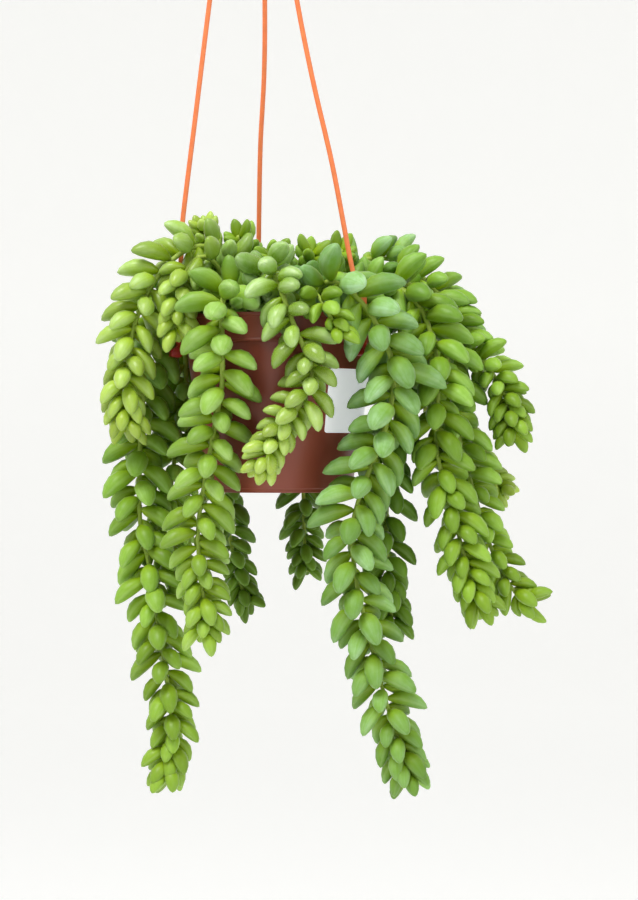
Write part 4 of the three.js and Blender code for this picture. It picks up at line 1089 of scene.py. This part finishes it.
def moulded_pot_plastic(colour):
    """Thin moulded polypropylene, terracotta-coloured: satin, with a faint orange-peel skin and faint
    upright flow marks from the mould."""
    material, tree, place = new_material("moulded_polypropylene_terracotta")
    centred = add_node(tree, "Mapping", {
        "Vector": place, "Location": tuple(HANG * MM), "Scale": (1.0, 1.0, 0.12)})
    flow = add_node(tree, "TexNoise", {"Vector": centred, "Scale": 1 / (9.0 * MM), "Detail": 3.0})
    peel = add_node(tree, "TexNoise", {"Vector": place, "Scale": 1 / (0.8 * MM), "Detail": 2.0})
    shade = add_node(tree, "MapRange", [flow, *NOISE_SPAN, 0.94, 1.05])
    varied = add_node(tree, "HueSaturation", {"Value": shade, "Color": colour})
    rough = add_node(tree, "MapRange", [flow, *NOISE_SPAN, 0.32, 0.42])
    return end_material(material, varied, rough, 1.49, (0.2, 0.1, peel), (0.1, (1.0, 0.4, 0.25), 1.0))


def moulded_hanger_plastic(colour):
    """Flexible moulded polypropylene, orange and slightly translucent: it glows where it is thin. The clip's
    foot under the rim band carries a painted deep red shade, as thick translucent plastic shows in shadow."""
    material, tree, place = new_material("moulded_polypropylene_orange")
    grain = add_node(tree, "TexNoise", {"Vector": place, "Scale": 1 / (4.0 * MM), "Detail": 3.0})
    depth = add_node(tree, "Attribute", output="Fac", attribute_name="painted_shade_red")
    # Painted shade: the clip's foot under the rim band is mixed towards deep red
    red_in_shade = add_node(tree, "Mix", {0: depth, 6: colour, 7: linear("#A81410")}, 2, data_type="RGBA")
    shade = add_node(tree, "MapRange", [grain, *NOISE_SPAN, 0.94, 1.06])
    varied = add_node(tree, "HueSaturation", {"Value": shade, "Color": red_in_shade})
    rough = add_node(tree, "MapRange", [grain, *NOISE_SPAN, 0.3, 0.42])
    return end_material(material, varied, rough, 1.49, (0.2, 0.2, grain), (0.35, (1.0, 0.35, 0.15), 2.0))


def coated_paper(colour):
    """Coated label paper: bright white and matt, with a barely visible fibre cloudiness and a painted glow:
    the paper gives off a little light of its own."""
    material, tree, place = new_material("coated_white_paper")
    fibre = add_node(tree, "TexNoise", {"Vector": place, "Scale": 1 / (1.2 * MM), "Detail": 4.0})
    shade = add_node(tree, "MapRange", [fibre, *NOISE_SPAN, 0.97, 1.0])
    varied = add_node(tree, "HueSaturation", {"Value": shade, "Color": colour})
    rough = add_node(tree, "MapRange", [fibre, *NOISE_SPAN, 0.5, 0.62])
    # Painted glow: the paper gives off a little light, which brightens it in the shade of the leaves
    return end_material(material, varied, rough, 1.5, (0.15, 0.1, fibre), others={
        "Emission Color": linear("#F4F6FF"), "Emission Strength": 0.4})


def moist_peat():
    """Moist potting peat: dark brown crumbs and fibres, matt, with paler bits of bark between them, and
    painted shade that darkens each crumb towards its edges.
    """
    material, tree, place = new_material("moist_potting_peat")
    crumb = add_node(tree, "TexVoronoi", {"Vector": place, "Scale": 1 / (2.2 * MM)}, "Distance")
    patch = add_node(tree, "TexNoise", {
        "Vector": place, "Scale": 1 / (6.0 * MM), "Detail": 4.0, "Roughness": 0.65})
    base = add_node(tree, "Mix", {0: patch, 6: linear("#20140D"), 7: linear("#5A412C")}, 2, data_type="RGBA")
    # Painted light and shade: each crumb is lighter in its middle and darker towards its edges, where shade
    # falls between crumbs
    lit = add_node(tree, "MapRange", [crumb, 0.0, 0.6, 1.2, 0.5])
    varied = add_node(tree, "HueSaturation", {"Value": lit, "Color": base})
    rough = add_node(tree, "MapRange", [patch, *NOISE_SPAN, 0.75, 0.95])
    return end_material(material, varied, rough, 1.4, (0.8, 1.2, crumb))


def studio_paper(glow):
    """Matt white background paper, lit most behind the plant, where it shows almost white."""
    material, tree, place = new_material("studio_background_paper")
    backwards = add_node(tree, "SeparateXYZ", [place], 1)
    lit = add_node(tree, "MapRange", [backwards, -3.0, 1.5, 0.0, glow], interpolation_type="SMOOTHSTEP")
    shader = add_node(tree, "BsdfPrincipled", {
        "Base Color": linear("#F4F4F2"), "Roughness": 0.9,
        "Emission Color": linear("#FFFFFF"), "Emission Strength": lit})
    add_node(tree, "OutputMaterial", [shader])
    return material


# Settings a user would change


def colour_setting(name, description, hex_colour):
    """A colour that a user may change."""
    return bpy.props.FloatVectorProperty(name=name, description=description, default=linear(hex_colour),
                                         size=4, min=0.0, max=1.0, subtype="COLOR")


class PlantSettings(bpy.types.PropertyGroup):
    """Leaf colours and bloom."""
    bloom: bpy.props.FloatProperty(
        name="Bloom", description="How much powdery blue-green haze the leaves carry",
        default=0.75, min=0.0, max=1.0, subtype="FACTOR")
    glaucous_body: colour_setting("Glaucous leaf", "Flesh colour of the blue-green leaves", "#669816")
    green_body: colour_setting("Green leaf", "Flesh colour of the mid green leaves", "#6A9A0C")
    pale_body: colour_setting("Pale leaf", "Flesh colour of the paler green leaves", "#74A412")
    lime_body: colour_setting("Lime leaf", "Flesh colour of the yellow-green leaves", "#82A812")
    # Painted shade: the darker leaf flesh for the inner and back stems, which stand in shadow
    painted_shade_body: colour_setting("Shaded leaf", "Flesh colour of the dark green leaves", "#527C12")


class PotSettings(bpy.types.PropertyGroup):
    """Pot, label and hanger colours."""
    pot_colour: colour_setting("Pot", "Colour of the moulded pot", "#934837")
    label_colour: colour_setting("Label", "Colour of the label's paper", "#FFFFFF")
    hanger_colour: colour_setting("Hanger", "Colour of the moulded hanger", "#DE7A44")


class StageSettings(bpy.types.PropertyGroup):
    """Background and light."""
    background_glow: bpy.props.FloatProperty(
        name="Background glow", description="Light that the background paper gives off",
        default=0.2, min=0.0, max=2.0)
    surround: bpy.props.FloatProperty(
        name="Surround", description="Brightness of the white surround",
        default=0.63, min=0.0, max=2.0)
    key_power: bpy.props.FloatProperty(
        name="Key light", description="Power of the soft light high in front to the left",
        default=30.5, min=0.0, unit="POWER")
    fill_power: bpy.props.FloatProperty(
        name="Fill light", description="Power of the soft light low on the right",
        default=6.0, min=0.0, unit="POWER")


# Operators


class MakePot(bpy.types.Operator):
    """Make the thin tapered pot with its rim band, lip, foot ring and drain holes"""
    bl_idname = "plant.make_pot"
    bl_label = "Make Pot"

    def execute(self, context):
        plastic = moulded_pot_plastic(context.scene.pot_settings.pot_colour)
        body = turned(pot_profile(), POT_SIDES)
        cut_drains(mesh_piece("pot_moulded", body, [plastic], ["pot"], "pot_plastic"))
        return {"FINISHED"}


class MakeLabel(bpy.types.Operator):
    """Make the plain paper label on the pot's wall"""
    bl_idname = "plant.make_label"
    bl_label = "Make Label"

    def execute(self, context):
        label_piece(coated_paper(context.scene.pot_settings.label_colour))
        return {"FINISHED"}


class MakeSoil(bpy.types.Operator):
    """Make the peat that fills the pot and the loose crumbs on it"""
    bl_idname = "plant.make_soil"
    bl_label = "Make Soil"

    def execute(self, context):
        peat = moist_peat()
        soil_piece(peat)
        crumbs_piece(peat)
        return {"FINISHED"}


class MakeHanger(bpy.types.Operator):
    """Make the hook with its hub and the three strands with their clips"""
    bl_idname = "plant.make_hanger"
    bl_label = "Make Hanger"

    def execute(self, context):
        plastic = moulded_hanger_plastic(context.scene.pot_settings.hanger_colour)
        hook_piece(plastic)
        for row in STRANDS:
            strand_piece(*row, plastic)
        return {"FINISHED"}


class MakeStems(bpy.types.Operator):
    """Make every leafy stem"""
    bl_idname = "plant.make_stems"
    bl_label = "Make Leafy Stems"

    def execute(self, context):
        settings = context.scene.plant_settings
        skins = {}
        for finish, (_, foot, body, haze, bloom, young) in LEAF_FINISHES.items():
            skins[finish] = leaf_skin("waxy_" + finish, linear(foot), getattr(settings, body), linear(haze),
                                      settings.bloom * bloom, young)
        bark = stem_bark()
        stems = [Stem(*row) for row in STEMS]
        grow(stems)
        for stem in stems:
            leafy_stem(stem, [skins[stem.finish], bark])
        return {"FINISHED"}


class MakeStage(bpy.types.Operator):
    """Make the white background, the lights and the camera"""
    bl_idname = "plant.make_stage"
    bl_label = "Make Stage"

    def execute(self, context):
        settings = context.scene.stage_settings
        make_background(settings.background_glow)
        make_lights(settings)
        make_camera()
        return {"FINISHED"}


def make_background(glow):
    """A wide round floor whose rim curves up into a wall, so it is seamless from every side. In metres."""
    floor, reach, wall_top, bend, sides = -1.1, 5.2, 3.0, 1.0, 96
    turn = np.radians(np.linspace(0, 90, 13))
    curve = np.column_stack([reach - bend + bend * np.sin(turn), floor + bend - bend * np.cos(turn)])
    profile = np.vstack([(0.4, floor), (2.0, floor), curve, (reach, wall_top)])
    points = np.vstack([ring_points(profile, sides), [(0, 0, floor)]])
    faces = cells(len(profile), sides, closed=True)[:, ::-1].tolist()
    faces += [[len(points) - 1, k, (k + 1) % sides] for k in range(sides)]
    background = linked_mesh("background", points, faces, [studio_paper(glow)])


def make_lights(settings):
    """A white surround, a soft light high in front to the left and a weaker one low on the right."""
    world = bpy.data.worlds.new("white_surround")
    world.use_nodes = True
    surround = world.node_tree.nodes["Background"]
    surround.inputs["Color"].default_value = linear("#FFFFFF")
    surround.inputs["Strength"].default_value = settings.surround
    bpy.context.scene.world = world
    target = (0.04, 0.0, -0.45)
    for name, place, size, power in (
            ("key_light", (-0.5, -0.85, 1.1), 0.9, settings.key_power),
            ("fill_light", (1.1, -1.4, -0.1), 1.0, settings.fill_power)):
        light = bpy.data.lights.new(name, "AREA")
        light.shape = "SQUARE"
        light.size = size
        light.energy = power
        lamp = bpy.data.objects.new(name, light)
        lamp.location = place
        lamp.rotation_euler = Vector(np.subtract(target, place)).to_track_quat("-Z", "Y").to_euler()
        bpy.context.scene.collection.objects.link(lamp)


def make_camera():
    """A level camera at the photograph's distance. The sensor's long side is the picture's height."""
    camera = bpy.data.cameras.new("photograph")
    camera.sensor_width = 36.0
    camera.lens = camera.sensor_width * CAMERA_DISTANCE / (PICTURE_HEIGHT / PIXELS_PER_MM)
    camera.clip_start = 0.05
    camera.clip_end = 30.0
    eye = bpy.data.objects.new("photograph", camera)
    eye.location = placed([CAMERA_X, -CAMERA_DISTANCE, CAMERA_Z])
    eye.rotation_euler = (math.pi / 2, 0, 0)
    bpy.context.scene.collection.objects.link(eye)
    bpy.context.scene.camera = eye
    bpy.context.scene.view_settings.view_transform = "Standard"


class PlantPanel(bpy.types.Panel):
    """Lists the settings and the steps in the 3D view's sidebar"""
    bl_idname = "VIEW3D_PT_hanging_plant"
    bl_label = "Hanging Plant"
    bl_space_type = "VIEW_3D"
    bl_region_type = "UI"
    bl_category = "Plant"

    def draw(self, context):
        for name, group in SETTINGS.items():
            for setting in group.__annotations__:
                self.layout.prop(getattr(context.scene, name), setting)
        for operator in OPERATORS:
            self.layout.operator(operator.bl_idname)


SETTINGS = {"plant_settings": PlantSettings, "pot_settings": PotSettings, "stage_settings": StageSettings}
OPERATORS = (MakePot, MakeLabel, MakeSoil, MakeHanger, MakeStems, MakeStage)
CLASSES = (*SETTINGS.values(), *OPERATORS, PlantPanel)


def register():
    for cls in CLASSES:
        bpy.utils.register_class(cls)
    for name, group in SETTINGS.items():
        setattr(bpy.types.Scene, name, bpy.props.PointerProperty(type=group))


def unregister():
    for name in SETTINGS:
        delattr(bpy.types.Scene, name)
    for cls in reversed(CLASSES):
        bpy.utils.unregister_class(cls)


def main():
    register()
    bpy.ops.plant.make_pot()
    bpy.ops.plant.make_label()
    bpy.ops.plant.make_soil()
    bpy.ops.plant.make_hanger()
    bpy.ops.plant.make_stems()
    bpy.ops.plant.make_stage()


if __name__ == "__main__":
    main()
